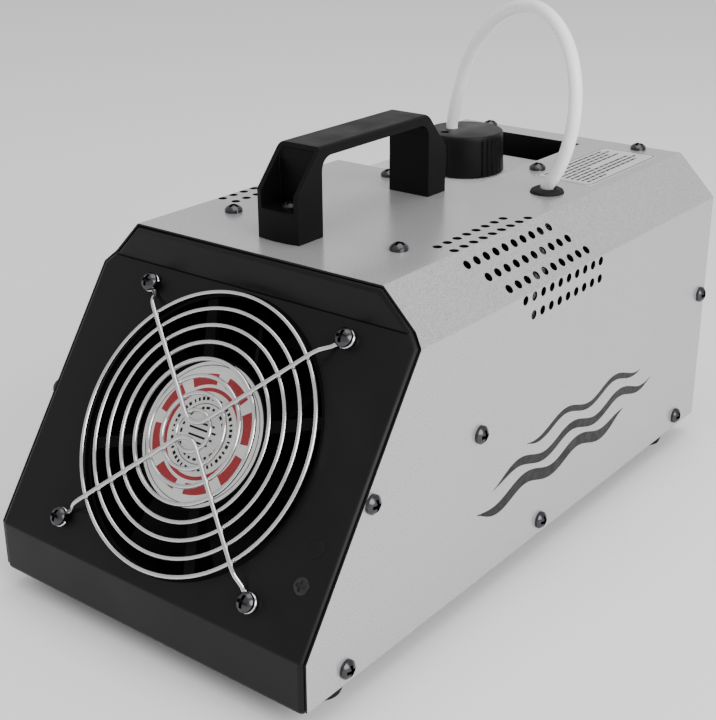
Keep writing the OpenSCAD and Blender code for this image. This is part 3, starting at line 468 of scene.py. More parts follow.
def tube_mesh(path, radius, sides):
    """Points and faces of a round tube along a path, closed at its ends."""
    points = []
    faces = []
    side = (path[1] - path[0]).orthogonal().normalized()
    for i, place in enumerate(path):
        along = direction_at(path, i)
        side = (side - along * side.dot(along)).normalized()
        across = along.cross(side)
        for k in range(sides):
            turn = 2 * pi * k / sides
            points.append(place + radius * (cos(turn) * side + sin(turn) * across))
    for i in range(len(path) - 1):
        faces += band_faces(i * sides, (i + 1) * sides, sides)
    faces.append(tuple(range(sides - 1, -1, -1)))
    faces.append(tuple(range(len(points) - sides, len(points))))
    return points, faces


# ------------------------------------------------------------------ the hose outside the case

# The route of part.scad, in metres and in case coordinates.
HOSE_ROUTE = [
    (-0.0361, 0.2676, 0.15135), (-0.0361, 0.2676, 0.1535), (-0.035, 0.267, 0.1585),
    (-0.0326, 0.2657, 0.166), (-0.0295, 0.264, 0.174), (-0.0256, 0.2618, 0.183),
    (-0.020, 0.2586, 0.192), (-0.0125, 0.2544, 0.201), (-0.004, 0.2496, 0.2085),
    (0.006, 0.2439, 0.215), (0.017, 0.2377, 0.2198), (0.028, 0.2315, 0.2222),
    (0.037, 0.2264, 0.2224), (0.046, 0.2213, 0.220), (0.054, 0.2168, 0.2154),
    (0.060, 0.2134, 0.209), (0.064, 0.2111, 0.2015), (0.0662, 0.2099, 0.193),
    (0.0666, 0.2097, 0.184), (0.0654, 0.2104, 0.175), (0.0626, 0.212, 0.166),
    (0.0586, 0.2144, 0.1575), (0.0542, 0.217, 0.151), (0.051, 0.2189, 0.1472),
    (0.049, 0.220, 0.1446), (0.049, 0.220, 0.1424)]
HOSE_DIAMETER = 6 * MM
HOSE_STEPS = 5
HOSE_SIDES = 20
# Two points of the route, where the hose rises from the cap.
BLEND_FROM = 2
BLEND_TO = 6


def add_hose():
    """The hose, one tube along its route."""
    path = smooth_path([at(*p) for p in HOSE_ROUTE], HOSE_STEPS)
    points, faces = tube_mesh(path, HOSE_DIAMETER / 2, HOSE_SIDES)
    hose = new_piece("fluid_hose", points, faces, "hose_plastic", body=None)
    start, end = at(*HOSE_ROUTE[BLEND_FROM]), at(*HOSE_ROUTE[BLEND_TO])
    end.z = start.z
    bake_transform(hose)
    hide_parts("feed_hose")


# ------------------------------------------------------------------ folded sheet metal

# A straight run goes along a direction from its point. Its trim is what the bend before it took
# off it. A bend swings its arm round a centre, to the left where curl is above zero, at a corner
# of the outline. Both have their start and end as lengths along the outline.
Run = namedtuple("Run", "start end point along trim")
Bend = namedtuple("Bend", "start end centre arm curl corner")


class Fold:
    """A folded outline: straight runs between corners, with a round bend at each inner corner.
    It is followed by the length s along its outer face."""

    def __init__(self, corners, radii):
        corners = [Vector(c) for c in corners]
        trims = [0.0]
        for a, b, c, radius in zip(corners, corners[1:], corners[2:], radii):
            trims.append(radius * tan((b - a).angle(c - b) / 2))
        trims.append(0.0)
        self.stretches = []
        s = 0.0
        for i, (a, b) in enumerate(zip(corners, corners[1:])):
            along = (b - a).normalized()
            start = a + along * trims[i]
            end = b - along * trims[i + 1]
            length = (end - start).length
            self.stretches.append(Run(s, s + length, start, along, trims[i]))
            s += length
            if i < len(radii):
                radius = radii[i]
                ahead = (corners[i + 2] - b).normalized()
                turn = along.angle(ahead)
                inward = Vector((-along.y, along.x))
                hand = 1.0 if inward.dot(ahead) > 0 else -1.0
                centre = end + inward * hand * radius
                self.stretches.append(
                    Bend(s, s + radius * turn, centre, end - centre, hand / radius, i + 1))
                s += radius * turn
        self.length = s
        self.runs = [stretch for stretch in self.stretches if isinstance(stretch, Run)]
        self.bends = [stretch for stretch in self.stretches if isinstance(stretch, Bend)]

    def on(self, run, distance):
        """The length s at a distance along a run, measured as if its corners were sharp."""
        return self.runs[run].start + distance - self.runs[run].trim

    def place(self, s):
        """The point at s, and the direction along the outline there."""
        for stretch in self.stretches:
            if s <= stretch.end or stretch.end == self.length:
                if isinstance(stretch, Run):
                    return stretch.point + stretch.along * (s - stretch.start), stretch.along
                arm = Matrix.Rotation((s - stretch.start) * stretch.curl, 2) @ stretch.arm
                along = Vector((-arm.y, arm.x)).normalized()
                return stretch.centre + arm, along if stretch.curl > 0 else -along

    def creases(self, steps):
        """The lengths at which each bend begins, turns a step further, and ends."""
        return [bend.start + (bend.end - bend.start) * k / steps
                for bend in self.bends for k in range(steps + 1)]


def circle_points(x, y, radius, count):
    return [(x + radius * cos(2 * pi * k / count), y + radius * sin(2 * pi * k / count))
            for k in range(count)]


def slot_points(x0, y0, x1, y1):
    return [(x0, y0), (x1, y0), (x1, y1), (x0, y1)]


# What the triangulation makes: only what is inside the outline, with points this near made one.
INSIDE_ONLY = 1
NEARNESS = 1e-7


def loop_box(loop):
    """The lowest and highest x and y of a loop of points."""
    return (min(x for x, _ in loop), max(x for x, _ in loop),
            min(y for _, y in loop), max(y for _, y in loop))


def inside(p, loop, box):
    """Whether a point is inside a loop of points that has the given box."""
    x0, x1, y0, y1 = box
    within = False
    if x0 < p.x < x1 and y0 < p.y < y1:
        for (ax, ay), (bx, by) in zip(loop, loop[1:] + loop[:1]):
            if (ay > p.y) != (by > p.y) and p.x < (bx - ax) * (p.y - ay) / (by - ay) + ax:
                within = not within
    return within


def fill_flat(loops, lines=()):
    """Triangles between an outline, loops[0], and the holes in it, loops[1:]. Extra lines cross it.
    Returns the points, the triangles, and the given points that each point stands for."""
    points = [Vector(p) for loop in loops for p in loop]
    edges = []
    start = 0
    for loop in loops:
        edges += [(start + k, start + (k + 1) % len(loop)) for k in range(len(loop))]
        start += len(loop)
    for a, b in lines:
        points += [Vector(a), Vector(b)]
        edges.append((len(points) - 2, len(points) - 1))
    made, _, triangles, origins, _, _ = delaunay_2d_cdt(points, edges, [], INSIDE_ONLY, NEARNESS)
    holes = [(hole, loop_box(hole)) for hole in loops[1:]]
    faces = []
    for triangle in triangles:
        middle = sum((made[k] for k in triangle), Vector((0, 0))) / len(triangle)
        if not any(inside(middle, hole, box) for hole, box in holes):
            faces.append(triangle)
    return made, faces, origins


def sheet_metal(name, points, normals, faces, thickness, look, inner_look):
    """A sheet of even thickness: an outer face with the given normals, and an inner face and edge
    with a look of their own."""
    count = len(points)
    inner = [p - n * thickness for p, n in zip(points, normals)]
    every = list(faces) + [tuple(k + count for k in reversed(f)) for f in faces]
    sides = dict.fromkeys((a, b) for face in faces for a, b in zip(face, face[1:] + face[:1]))
    rim = [(b, a, a + count, b + count) for a, b in sides if (b, a) not in sides]
    piece = new_piece(name, points + inner, every + rim, look)
    mesh = piece.data
    mesh.materials.append(MATERIALS[inner_look])
    corner_normals = []
    for polygon in mesh.polygons:
        if polygon.index < len(faces):
            polygon.material_index = 0
            corner_normals += [normals[k] for k in polygon.vertices]
        elif polygon.index < 2 * len(faces):
            polygon.material_index = 1
            corner_normals += [-normals[k - count] for k in polygon.vertices]
        else:
            polygon.material_index = 1
            corner_normals += [polygon.normal.copy() for _ in polygon.vertices]
    mesh.normals_split_custom_set(corner_normals)
    return piece


# ------------------------------------------------------------------ silver cover

COVER_THICKNESS = 0.8 * MM
COVER_BASE = 1.8 * MM
COVER_FRONT = 1.3 * MM
COVER_BEND = 1.6 * MM
COVER_BEND_STEPS = 6
COVER_LIP = LIP_HEIGHT - 0.3 * MM
# The runs of the cover's fold, in order.
RIGHT_SIDE, RIGHT_CHAMFER, TOP, LEFT_CHAMFER, LEFT_SIDE = range(5)
VENT_RADIUS = 2.05 * MM
VENT_PITCH = 7.04 * MM
VENT_SIDES = 20
# The rows of vents on each half of the cover: where the row is, how many vents it has, and how
# far back the first one is. A row is placed by its distance from the centre line on the top, down
# the chamfer, and by its height on the side.
TOP_VENTS = ((55.2 * MM, 8, 123.3 * MM), (63.3 * MM, 9, 123.3 * MM))
CHAMFER_VENTS = ((6.2 * MM, 10, 122.6 * MM), (14.4 * MM, 10, 129.5 * MM), (22.6 * MM, 10, 136.2 * MM))
SIDE_VENTS = ((119.7 * MM, 10, 143.3 * MM), (111.5 * MM, 9, 150.4 * MM))
BAY_EDGE = 15.5 * MM
BAY_FRONT = 209.5 * MM
BAY_BACK = 311 * MM
BAY_BASE = 34 * MM
GROMMET_X = 49 * MM
GROMMET_Y = 220 * MM
GROMMET_HOLE = 5.5 * MM
GROMMET_SIDES = 32


def cover_front(z):
    """How far back the front edge of the cover lies at a height."""
    lean = pi / 2 - SLOPE_ANGLE
    up = max(0.0, z - LIP_HEIGHT + COVER_FRONT * tan(lean / 2))
    return min(COVER_FRONT + up * tan(lean), SLOPE_RUN + COVER_FRONT)


def cover_holes(fold, flat, slant, kink):
    """The vents, the grommet's hole and the tank's opening, on the cover laid flat."""
    rows = [(fold.on(TOP, flat - x), number, first) for x, number, first in TOP_VENTS]
    rows += [(fold.on(RIGHT_CHAMFER, slant - down), number, first) for down, number, first in CHAMFER_VENTS]
    rows += [(fold.on(RIGHT_SIDE, z - COVER_BASE), number, first) for z, number, first in SIDE_VENTS]
    holes = []
    for s, number, first in rows:
        for k in range(number):
            y = first + k * VENT_PITCH
            holes.append(circle_points(s, y, VENT_RADIUS, VENT_SIDES))
            holes.append(circle_points(fold.length - s, y, VENT_RADIUS, VENT_SIDES))
    holes.append(circle_points(fold.on(TOP, flat - GROMMET_X), GROMMET_Y, GROMMET_HOLE, GROMMET_SIDES))
    holes.append(slot_points(fold.on(TOP, flat - BAY_EDGE), BAY_FRONT,
                             fold.on(LEFT_SIDE, kink - BAY_BASE), BAY_BACK))
    return holes


def add_cover():
    """The cover, cut out flat as (length along its fold, distance back) and then folded."""
    flat = HALF_WIDTH - CHAMFER
    kink = CASE_TOP - CHAMFER
    slant = CHAMFER * sqrt(2)
    fold = Fold([(HALF_WIDTH, COVER_BASE), (HALF_WIDTH, kink), (flat, CASE_TOP), (-flat, CASE_TOP),
                 (-HALF_WIDTH, kink), (-HALF_WIDTH, COVER_BASE)], [COVER_BEND] * 4)
    front_turns = {fold.on(RIGHT_SIDE, COVER_LIP - COVER_BASE),
                   fold.on(RIGHT_CHAMFER, (SLOPE_TOP - kink) * sqrt(2)),
                   fold.on(LEFT_CHAMFER, (CASE_TOP - SLOPE_TOP) * sqrt(2)),
                   fold.on(LEFT_SIDE, kink - COVER_LIP)}
    stops = sorted({0.0, fold.length, *fold.creases(COVER_BEND_STEPS), *front_turns})
    front = [(s, cover_front(fold.place(s)[0].y)) for s in stops]
    back = [(s, CASE_BACK) for s in stops]
    creases = list(zip(front, back))[1:-1]
    loops = [front + back[::-1]] + cover_holes(fold, flat, slant, kink)
    flat_points, triangles, _ = fill_flat(loops, creases)
    points = []
    normals = []
    for p in flat_points:
        place, along = fold.place(p.x)
        points.append(at(place.x, p.y, place.y))
        normals.append(Vector((along.y, 0, -along.x)))
    faces = [tuple(reversed(triangle)) for triangle in triangles]
    # The cover's inner face and the edges of its vents and cuts take the black paint: painted shade, so
    # that the vents and cut edges look dark.
    cover = sheet_metal("folded_cover", points, normals, faces, COVER_THICKNESS,
                        "silver_paint", "black_paint")
    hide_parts("cover")


# ------------------------------------------------------------------ black chassis

CHASSIS_THICKNESS = 1.2 * MM
CHASSIS_INSET = 1.2 * MM
CHASSIS_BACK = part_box("chassis")[1][1] - FRONT_Y
CHASSIS_HALF = HALF_WIDTH - CHASSIS_INSET
CHASSIS_TOP = CASE_TOP - CHASSIS_INSET
CHASSIS_KINK = CASE_TOP - CHAMFER - CHASSIS_INSET * tan(pi / 8)
ROLL = 2.3 * MM
ROLL_STEPS = 5
INNER_BEND = 0.8 * MM
BEND_STEPS = 4
FLANGE = 12 * MM
# The run of the chassis's fold that is the slope, and the side faces that it meets.
SLOPE = 2
RIGHTWARD = Vector((1, 0, 0))
SLANTED = Vector((sqrt(0.5), 0, sqrt(0.5)))
UPWARD = Vector((0, 0, 1))
FAN_HOLE_SIDES = 128
BASE_SLOTS = 6
BASE_SLOT_LEFT = -25
BASE_SLOT_WIDTH = 4
BASE_SLOT_PITCH = 8
BASE_SLOT_FRONT = 134 * MM
BASE_SLOT_BACK = 194 * MM
BOSS_X = 73.1 * MM
BOSS_UP = 40.2 * MM
BOSS_SIDES = 48
# Radius and height of each ring of the boss, in millimetres, from its foot to its middle.
BOSS_PROFILE = ((3.55, 0.0), (3.4, 0.22), (3.1, 0.3), (2.75, 0.18), (2.4, 0.12), (0.0, 0.1))
JUST_OUTSIDE = 1e-6
ALMOST = 1e-9


def meet(n1, n2):
    """The vector whose product with both unit vectors is one: it leads to where two faces meet."""
    return (n1 + n2) / (1 + n1.dot(n2))


def flange_end(edge, face, sides):
    """Where the flange ends that goes back from an edge, along one side or between two."""
    reach = FLANGE - ROLL
    if len(sides) == 1:
        return edge - (face - sides[0] * face.dot(sides[0])) * reach
    line = sides[0].cross(sides[1]).normalized()
    return edge - line * reach / line.dot(face)


def edge_ring(corner, face, sides, end):
    """Points and normals over a rounded edge, from the face to the one or two sides it meets, and
    on to the flange's end, which is worked out where none is given."""
    if len(sides) == 1:
        middle = sides[0]
        aim = Matrix((face, middle, face.cross(middle))).inverted() @ Vector((1, 1, 0))
    else:
        middle = meet(*sides)
        aim = Matrix((face, *sides)).inverted() @ Vector((1, 1, 1))
    centre = corner - ROLL * aim
    turn = face.angle(middle)
    ring = []
    for k in range(ROLL_STEPS + 1):
        angle = turn * k / ROLL_STEPS
        out = (face * sin(turn - angle) + middle * sin(angle)) / sin(turn)
        ring.append((centre + ROLL * out, out.normalized()))
    if end is None:
        end = flange_end(ring[-1][0], face, sides)
    ring.append((end, middle.normalized()))
    return ring


def inner_bend_end(fold, corners, s):
    """Where the flange ends at an inner bend, whose flanges meet in one point, or else None."""
    bend = next((b for b in fold.bends if b.start - ALMOST <= s <= b.end + ALMOST), None)
    if bend is None or bend.curl > 0:
        return None
    before = fold.place(bend.start - JUST_OUTSIDE)[1]
    after = fold.place(bend.end + JUST_OUTSIDE)[1]
    faces = [Vector((0, -along.y, along.x)) for along in (before, after)]
    return at(CHASSIS_HALF, *corners[bend.corner]) - FLANGE * meet(*faces)


def chassis_ring(fold, corners, s, kink_at):
    """The ring over the chassis's right edge at a length along its fold."""
    place, along = fold.place(s)
    y, z = place
    if s == kink_at:
        sides = (RIGHTWARD, SLANTED)
    elif s == fold.length:
        sides = (SLANTED, UPWARD)
    else:
        sides = (RIGHTWARD,) if z < CHASSIS_KINK else (SLANTED,)
    corner = at(CHASSIS_HALF - max(0.0, z - CHASSIS_KINK), y, z)
    face = Vector((0, -along.y, along.x))
    return edge_ring(corner, face, sides, inner_bend_end(fold, corners, s))


def fill_face(points, normals, faces, ring, flatten, unflatten, holes, normal):
    """Fills a flat face between a ring of known points and holes, and adds what it makes."""
    made, triangles, origins = fill_flat([[flatten(points[k]) for k in ring]] + holes)
    known = {}
    for k, sources in enumerate(origins):
        shared = [j for j in sources if j < len(ring)]
        if shared:
            known[k] = ring[shared[0]]
        else:
            known[k] = len(points)
            points.append(unflatten(made[k]))
            normals.append(normal)
    for triangle in triangles:
        a, b, c = (points[known[k]] for k in triangle)
        order = triangle if (b - a).cross(c - a).dot(normal) > 0 else reversed(triangle)
        faces.append(tuple(known[k] for k in order))


def add_chassis():
    """The chassis: rings over its right edge, their mirror images, and the faces between them."""
    corners = [(CHASSIS_BACK, 0), (0, 0), (0, LIP_HEIGHT), (SLOPE_RUN, SLOPE_TOP), (SLOPE_RUN, CHASSIS_TOP)]
    fold = Fold(corners, [ROLL, ROLL, INNER_BEND])
    kink_at = fold.on(SLOPE, (CHASSIS_KINK - LIP_HEIGHT) / sin(SLOPE_ANGLE))
    stations = sorted([0.0, fold.length, kink_at] + fold.creases(BEND_STEPS))
    rings = [chassis_ring(fold, corners, s, kink_at) for s in stations]
    points = [p for ring in rings for p, _ in ring]
    normals = [n for ring in rings for _, n in ring]
    mirror = Matrix.Diagonal((-1, 1, 1))
    left = len(points)
    points += [mirror @ p for p in points]
    normals += [mirror @ n for n in normals]
    wide = ROLL_STEPS + 2
    faces = []
    for i in range(len(stations) - 1):
        for k in range(wide - 1):
            a, b = i * wide + k, (i + 1) * wide + k
            faces.append((a, a + 1, b + 1, b))
            faces.append(tuple(left + j for j in (a, b, b + 1, a + 1)))
    last = (len(stations) - 1) * wide
    for k in range(last, last + wide - 1):
        faces.append((k, k + 1, left + k + 1, left + k))
    kink = stations.index(kink_at)
    for i in range(1, len(stations) - 1):
        if i not in (kink - 1, kink):
            a, b = i * wide, (i + 1) * wide
            faces.append((a, b, left + b, left + a))

    slots = []
    for k in range(BASE_SLOTS):
        x = BASE_SLOT_LEFT + BASE_SLOT_PITCH * k
        slots.append(slot_points(x * MM, BASE_SLOT_FRONT + FRONT_Y,
                                 (x + BASE_SLOT_WIDTH) * MM, BASE_SLOT_BACK + FRONT_Y))
    fill_face(points, normals, faces, [0, wide, left + wide, left], lambda p: (p.x, p.y),
              lambda q: Vector((q.x, q.y, FLOOR_Z)), slots, -UPWARD)
    slope_base = on_slope(0, 0, 0)
    up_slope = on_slope(0, 1, 0) - slope_base
    slope_ends = [k * wide for k in (kink - 1, kink, kink + 1)]
    fill_face(points, normals, faces, slope_ends + [left + k for k in reversed(slope_ends)],
              lambda p: (p.x, (p - slope_base).dot(up_slope)), lambda q: on_slope(q.x, q.y, 0),
              [circle_points(FAN_X, FAN_UP, FAN_HOLE, FAN_HOLE_SIDES)], SLOPE_OUT)
    chassis = sheet_metal("folded_chassis", points, normals, faces, CHASSIS_THICKNESS,
                          "black_paint", "black_paint")
    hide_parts("chassis")


def add_pressed_boss():
    """The round mark pressed into the slope, near its lower right corner."""
    count = BOSS_SIDES
    *rings, tip = BOSS_PROFILE
    points = []
    for radius, height in rings:
        for k in range(count):
            turn = 2 * pi * k / count
            points.append(on_slope(BOSS_X + radius * MM * cos(turn), BOSS_UP + radius * MM * sin(turn),
                                   height * MM))
    points.append(on_slope(BOSS_X, BOSS_UP, tip[1] * MM))
    faces = []
    for i in range(len(rings) - 1):
        faces += band_faces(i * count, (i + 1) * count, count)
    last = (len(rings) - 1) * count
    faces += [(last + k, last + (k + 1) % count, len(points) - 1) for k in range(count)]
    faces.append(tuple(range(count - 1, -1, -1)))
    new_piece("pressed_boss", points, faces, "black_paint")


# ------------------------------------------------------------------ guard wires

SCREW_REACH = 52.5 * MM
EYE_RADIUS = 3.3 * MM
EYE_LIFT = 1.2 * MM
EYE_SWEEP = 300
EYE_STEP = 12
SPOKE_LIFT = 5.25 * MM
SPOKE_RADIUS = 1.0 * MM
SPOKE_SIDES = 16
STEP_AT = 62 * MM
BEND = 8 * MM
BEND_STEP = 9


def wire_half(side):
    """Half of a guard wire: the loop round its screw, the step up and the run to the middle."""
    points = []
    mouth = 225 if side > 0 else 315
    for swept in range(EYE_SWEEP, -1, -EYE_STEP):
        turn = radians(mouth + side * swept)
        points.append((side * SCREW_REACH + EYE_RADIUS * cos(turn), SCREW_REACH + EYE_RADIUS * sin(turn),
                       EYE_LIFT))
    # It leaves its eye, climbs over the outermost ring, and is level from there to the bend.
    start = SCREW_REACH - EYE_RADIUS / sqrt(2)
    outer = STEP_AT / sqrt(2)
    inner = BEND / sqrt(2)
    for reach, lift in ((start - 1.2 * MM, EYE_LIFT + 0.1 * MM), (start - 2.4 * MM, EYE_LIFT + 0.5 * MM),
                        (outer + 1.2 * MM, SPOKE_LIFT - 0.7 * MM), (outer, SPOKE_LIFT - 0.2 * MM),
                        (outer - 1.5 * MM, SPOKE_LIFT), (inner + 1.4 * MM, SPOKE_LIFT)):
        points.append((side * reach, reach, lift))
    return points


def add_guard_wires():
    """Two bent wires, one above the hub and one below it. Both stand for the same CAD node."""
    right = wire_half(1)
    left = wire_half(-1)
    bend = [(BEND * cos(radians(a)), BEND * (sqrt(2) + sin(radians(a))), SPOKE_LIFT)
            for a in range(-45, -136, -BEND_STEP)]
    route = right + bend + left[::-1]
    for name, flip in (("guard_wire_upper", 1), ("guard_wire_lower", -1)):
        path = [on_fan(x * flip, y * flip, z) for x, y, z in route]
        points, faces = tube_mesh(path, SPOKE_RADIUS, SPOKE_SIDES)
        wire = new_piece(name, points, faces, "guard_chrome")
        if flip > 0:
            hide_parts("guard_spokes")


# ------------------------------------------------------------------ printed marks

PRINT_HEIGHT = 0.04 * MM


def stripe(path, widths, out):
    """Points and faces of a flat printed stripe along a path, as a thin closed solid."""
    points = []
    faces = []
    for i, place in enumerate(path):
        across = direction_at(path, i).cross(out).normalized() * widths[i] / 2
        points += [place - across, place + across,
                   place + across + out * PRINT_HEIGHT, place - across + out * PRINT_HEIGHT]
    for i in range(len(path) - 1):
        for k in range(4):
            n = (k + 1) % 4
            faces.append((4 * i + n, 4 * i + k, 4 * i + 4 + k, 4 * i + 4 + n))
    faces.append((0, 1, 2, 3))
    last = 4 * (len(path) - 1)
    faces.append((last + 3, last + 2, last + 1, last))
    return points, faces


def printed(name, stripes, look):
    """One piece from many stripes."""
    points = []
    faces = []
    for stripe_points, stripe_faces in stripes:
        faces += [tuple(k + len(points) for k in f) for f in stripe_faces]
        points += stripe_points
    return new_piece(name, points, faces, look, smooth=False)


# The fan label's marks, in millimetres and degrees.
LABEL_RADIUS = 30
LABEL_BLOCKS = 8
LABEL_DASHES = 24
LABEL_TICKS = 40
# The height and half length of each rule in the middle of the label.
LABEL_RULES = ((4, 5.5), (1.5, 7.2), (-1.5, 6.4), (-4, 5))
LABEL_RULE_WIDTH = 0.9


def add_fan_label_print():
    """A ring, blocks, dashes, ticks and rules, with no lettering."""
    face = (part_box("fan_label")[1][2] - on_fan(0, LABEL_RADIUS * MM, 0).z) / cos(SLOPE_ANGLE)

    def arc(radius, start, end, width, steps):
        path = []
        for k in range(steps + 1):
            turn = radians(start + (end - start) * k / steps)
            path.append(on_fan(radius * MM * cos(turn), radius * MM * sin(turn), face))
        return stripe(path, [width * MM] * len(path), SLOPE_OUT)

    red = [arc(radius=18.2, start=0, end=360, width=1.6, steps=96)]
    for k in range(LABEL_BLOCKS):
        turn = 360 // LABEL_BLOCKS * k
        red.append(arc(radius=22.6, start=turn + 4, end=turn + 36, width=4.6, steps=16))
    printed("fan_label_ring", red, "red_ink")
    dark = [arc(radius=12.4, start=0, end=360, width=0.3, steps=72),
            arc(radius=28.4, start=0, end=360, width=0.3, steps=96)]
    for k in range(LABEL_DASHES):
        turn = 360 // LABEL_DASHES * k
        dark.append(arc(radius=10.6, start=turn + 2, end=turn + (9 if k % 3 else 12), width=1.1, steps=4))
    for k in range(LABEL_TICKS):
        turn = 360 // LABEL_TICKS * k
        dark.append(arc(radius=14.6, start=turn, end=turn + 3 + 3 * (k * 5 % 7) / 6, width=1.5, steps=3))
    for row, reach in LABEL_RULES:
        ends = [on_fan(x * MM, row * MM, face) for x in (-reach, reach)]
        dark.append(stripe(ends, [LABEL_RULE_WIDTH * MM] * 2, SLOPE_OUT))
    printed("fan_label_marks", dark, "black_ink")


# The start, end and width of each haze band, in millimetres, from the lowest band up.
RIGHT_BANDS = ((112, 240, 5.6), (124, 268, 4.2), (150, 256, 3.0))
LEFT_BANDS = ((60, 170, 5.6), (72, 200, 4.2), (96, 188, 3.0))
LOWEST_BAND = 33
BAND_PITCH = 10
BAND_STEPS = 72
BAND_TAPER = 0.18
BAND_TIP = 0.12
WAVE_HEIGHT = 2.6 * MM
WAVE_LENGTH = 46 * MM
WAVE_SHIFT = 0.9


def band_width(k):
    """How wide a band is at a step along it, from its tip's share up to 1."""
    from_end = min(k, BAND_STEPS - k)
    if from_end < BAND_STEPS * BAND_TAPER:
        return max(BAND_TIP, sin(pi * from_end / (BAND_STEPS * 2 * BAND_TAPER)))
    return 1


def add_side_decal():
    """Three drifting bands of haze on each side of the cover, in place of lettering. Those on the
    left are shorter, because the tank bay takes the back of that side."""
    for name, side, spans in (("haze_bands_right", 1, RIGHT_BANDS), ("haze_bands_left", -1, LEFT_BANDS)):
        bands = []
        for row, (start, end, width) in enumerate(spans):
            path = []
            for k in range(BAND_STEPS + 1):
                y = (start + (end - start) * k / BAND_STEPS) * MM
                wave = WAVE_HEIGHT * sin(2 * pi * y / WAVE_LENGTH + WAVE_SHIFT * row)
                path.append(at(side * HALF_WIDTH, y, (LOWEST_BAND + BAND_PITCH * row) * MM + wave))
            widths = [width * MM * band_width(k) for k in range(BAND_STEPS + 1)]
            bands.append(stripe(path, widths, Vector((side, 0, 0))))
        printed(name, bands, "black_ink")


PLATE_INSET = 0.9 * MM
PLATE_CORNER = 2.6 * MM
PLATE_LINE = 0.5 * MM
CORNER_STEP = 15
# How much of the plate each rule takes up. A rule is broken into word-long dashes.
RULE_LENGTHS = (0.92, 0.97, 0.88, 0.95, 0.4, 0.93, 0.98, 0.9, 0.3)
RULE_WIDTH = 1.3 * MM
RULE_MARGIN = 4.5 * MM
SHORTEST_WORD = 2.2
WORD_SPREAD = 2.8
WORD_GAP = 0.8 * MM
FIRST_RULE = 3.6
RULE_PITCH = 2.9


def add_plate_print():
    """A rounded outline and rows of plain rules on the plate behind the grommet."""
    low, high = (Vector(corner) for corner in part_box("rating_plate"))
    x0, x1 = low.x + PLATE_INSET, high.x - PLATE_INSET
    y0, y1 = low.y + PLATE_INSET, high.y - PLATE_INSET
    outline = []
    for x, y, start in ((x1, y1, 0), (x0, y1, 90), (x0, y0, 180), (x1, y0, 270)):
        cx = x + (PLATE_CORNER if x == x0 else -PLATE_CORNER)
        cy = y + (PLATE_CORNER if y == y0 else -PLATE_CORNER)
        for angle in range(start, start + 91, CORNER_STEP):
            outline.append(Vector((cx + PLATE_CORNER * cos(radians(angle)),
                                   cy + PLATE_CORNER * sin(radians(angle)), high.z)))
    closed = outline + outline[:2]
    marks = [stripe(closed, [PLATE_LINE] * len(closed), UPWARD)]
    for row, part in enumerate(RULE_LENGTHS):
        x = low.x + (FIRST_RULE + RULE_PITCH * row) * MM
        y = low.y + RULE_MARGIN
        end = y + (high.y - low.y - 2 * RULE_MARGIN) * part
        while y < end:
            word = (SHORTEST_WORD + WORD_SPREAD * ((row * 7 + int(y / MM)) % 5) / 4) * MM
            stop = min(y + word, end)
            marks.append(stripe([Vector((x, y, high.z)), Vector((x, stop, high.z))], [RULE_WIDTH] * 2,
                                UPWARD))
            y = stop + WORD_GAP
    printed("plate_rules", marks, "black_ink")


# ------------------------------------------------------------------ moulded pieces

# The cap's measures are in millimetres and degrees, and its places are from its own middle.
CAP_PLACE = (-29.5, 270, 130.5)
CAP_RADIUS = 20.4
CAP_HEIGHT = 20.8
CAP_SIDES = 320
CAP_FLAT = CAP_RADIUS - 2
CAP_ROUND = 1.1
CAP_ROUND_STEPS = 4
CAP_SHARP_ANGLE = 40
NECK_BORE = 15.9
NECK_DEPTH = 16.9
HOSE_IN_CAP = (-6.6, -2.4)
HOSE_HOLE = 3.03
HOSE_HOLE_SIDES = 32
CAP_VENT = (-4.7, -11.6)
CAP_VENT_HOLE = 2.3
CAP_VENT_SIDES = 24
# The radius, height and groove depth of each ring of the cap, from the roof of its bore, out
# under its rim and up its side.
CAP_RINGS = ((NECK_BORE, NECK_DEPTH, 0), (NECK_BORE, 0, 0), (CAP_RADIUS - 0.5, 0, 0.7),
             (CAP_RADIUS, 0.5, 0.8), (CAP_RADIUS - 0.4, 8, 0.8), (CAP_RADIUS - 0.75, 16.4, 0.8),
             (CAP_RADIUS - 0.78, 17.6, 0.45), (CAP_RADIUS - 0.8, 18.4, 0), (CAP_RADIUS - 0.9, 19.7, 0))
RIB_ZONE = 90
RIB_ZONE_TURN = -11.5
RIB_ZONE_HALF = 20.5
RIB_PITCH = 9
RIB_SHARPNESS = 2.5


def groove_at(turn):
    """How deep the cap's side is grooved, from 0 to 1: five grooves in each of four zones."""
    off = (degrees(turn) - RIB_ZONE_TURN + RIB_ZONE / 2) % RIB_ZONE - RIB_ZONE / 2
    if abs(off) < RIB_ZONE_HALF:
        return max(0.0, cos(2 * pi * off / RIB_PITCH)) ** RIB_SHARPNESS
    return 0.0


def on_cap(x, y, z):
    return at((CAP_PLACE[0] + x) * MM, (CAP_PLACE[1] + y) * MM, (CAP_PLACE[2] + z) * MM)


def cap_ring(radius, height, groove=0):
    """One ring of points round the cap, cut in by a depth where its side is grooved."""
    made = []
    for k in range(CAP_SIDES):
        turn = 2 * pi * k / CAP_SIDES
        dip = groove * groove_at(turn)
        made.append(on_cap((radius - dip) * cos(turn), (radius - dip) * sin(turn), height))
    return made


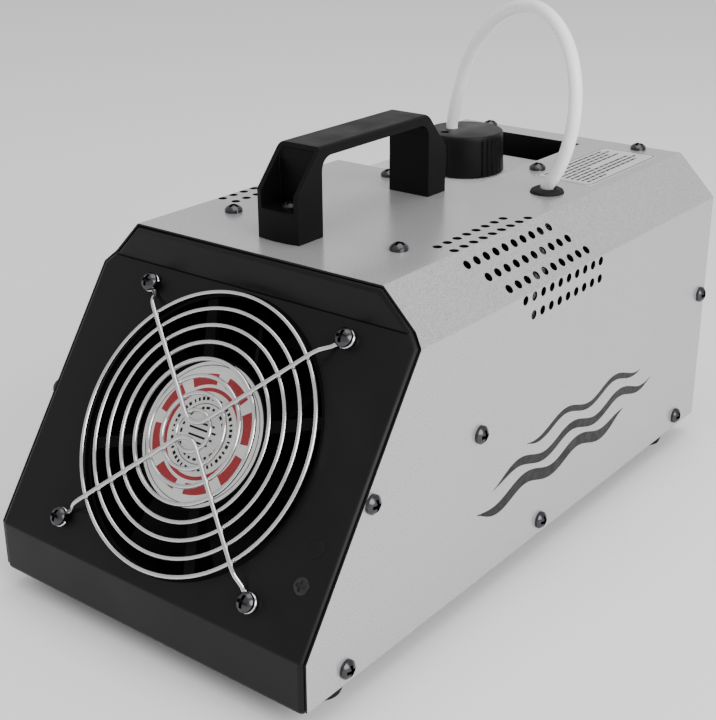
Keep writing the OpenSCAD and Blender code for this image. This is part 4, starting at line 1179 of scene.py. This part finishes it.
def add_cap():
    """The tank cap, hollow below, with the hose's hole and a small vent in its top."""
    rows = [cap_ring(*ring) for ring in CAP_RINGS]
    for k in range(1, CAP_ROUND_STEPS + 1):
        turn = pi / 2 * k / CAP_ROUND_STEPS
        rows.append(cap_ring(CAP_FLAT + CAP_ROUND * cos(turn),
                             CAP_HEIGHT - CAP_ROUND + CAP_ROUND * sin(turn)))
    points = [p for row in rows for p in row]
    faces = []
    for i in range(len(rows) - 1):
        faces += band_faces(i * CAP_SIDES, (i + 1) * CAP_SIDES, CAP_SIDES)
    hose_hole = circle_points(*HOSE_IN_CAP, HOSE_HOLE, HOSE_HOLE_SIDES)
    vent = circle_points(*CAP_VENT, CAP_VENT_HOLE, CAP_VENT_SIDES)

    def close(start, height, facing_down):
        """Closes a ring with a flat disc, and returns the points round the holes in it."""
        outline = [(p.x / MM - CAP_PLACE[0], (p.y - FRONT_Y) / MM - CAP_PLACE[1])
                   for p in points[start:start + CAP_SIDES]]
        made, triangles, origins = fill_flat([outline, hose_hole, vent])
        known = {}
        rims = {}
        for k, sources in enumerate(origins):
            source = sources[0]
            if source < CAP_SIDES:
                known[k] = start + source
            else:
                known[k] = len(points)
                rims[source - CAP_SIDES] = len(points)
                points.append(on_cap(made[k].x, made[k].y, height))
        for triangle in triangles:
            order = reversed(triangle) if facing_down else triangle
            faces.append(tuple(known[k] for k in order))
        return rims

    upper = close((len(rows) - 1) * CAP_SIDES, CAP_HEIGHT, facing_down=False)
    lower = close(0, NECK_DEPTH, facing_down=True)
    for start, number in ((0, HOSE_HOLE_SIDES), (HOSE_HOLE_SIDES, CAP_VENT_SIDES)):
        for k in range(number):
            a, b = start + k, start + (k + 1) % number
            faces.append((upper[b], upper[a], lower[a], lower[b]))
    cap = new_piece("ribbed_cap", points, faces, "black_plastic", "cap")
    cap.data.set_sharp_from_angle(angle=radians(CAP_SHARP_ANGLE))
    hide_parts("tank_cap")


HANDLE_ROUND = 0.7 * MM
HANDLE_ROUND_STEPS = 3
SHARP_ANGLE = 28
WELD_REACH = 0.005 * MM


def soften_handle():
    """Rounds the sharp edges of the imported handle."""
    handle = frame["nodes"]["handle"]
    weld = handle.modifiers.new("weld", "WELD")
    weld.merge_threshold = WELD_REACH
    bevel = handle.modifiers.new("round", "BEVEL")
    bevel.width = HANDLE_ROUND
    bevel.segments = HANDLE_ROUND_STEPS
    bevel.limit_method = "ANGLE"
    bevel.angle_limit = radians(SHARP_ANGLE)
    bevel.harden_normals = True


# ------------------------------------------------------------------ the scene

add_camera()
add_world()
for softbox in SOFTBOXES:
    add_softbox(*softbox)
add_floor()
add_hose()
dress_frame()
add_cover()
add_chassis()
add_pressed_boss()
add_guard_wires()
add_fan_label_print()
add_side_decal()
add_plate_print()
add_cap()
soften_handle()
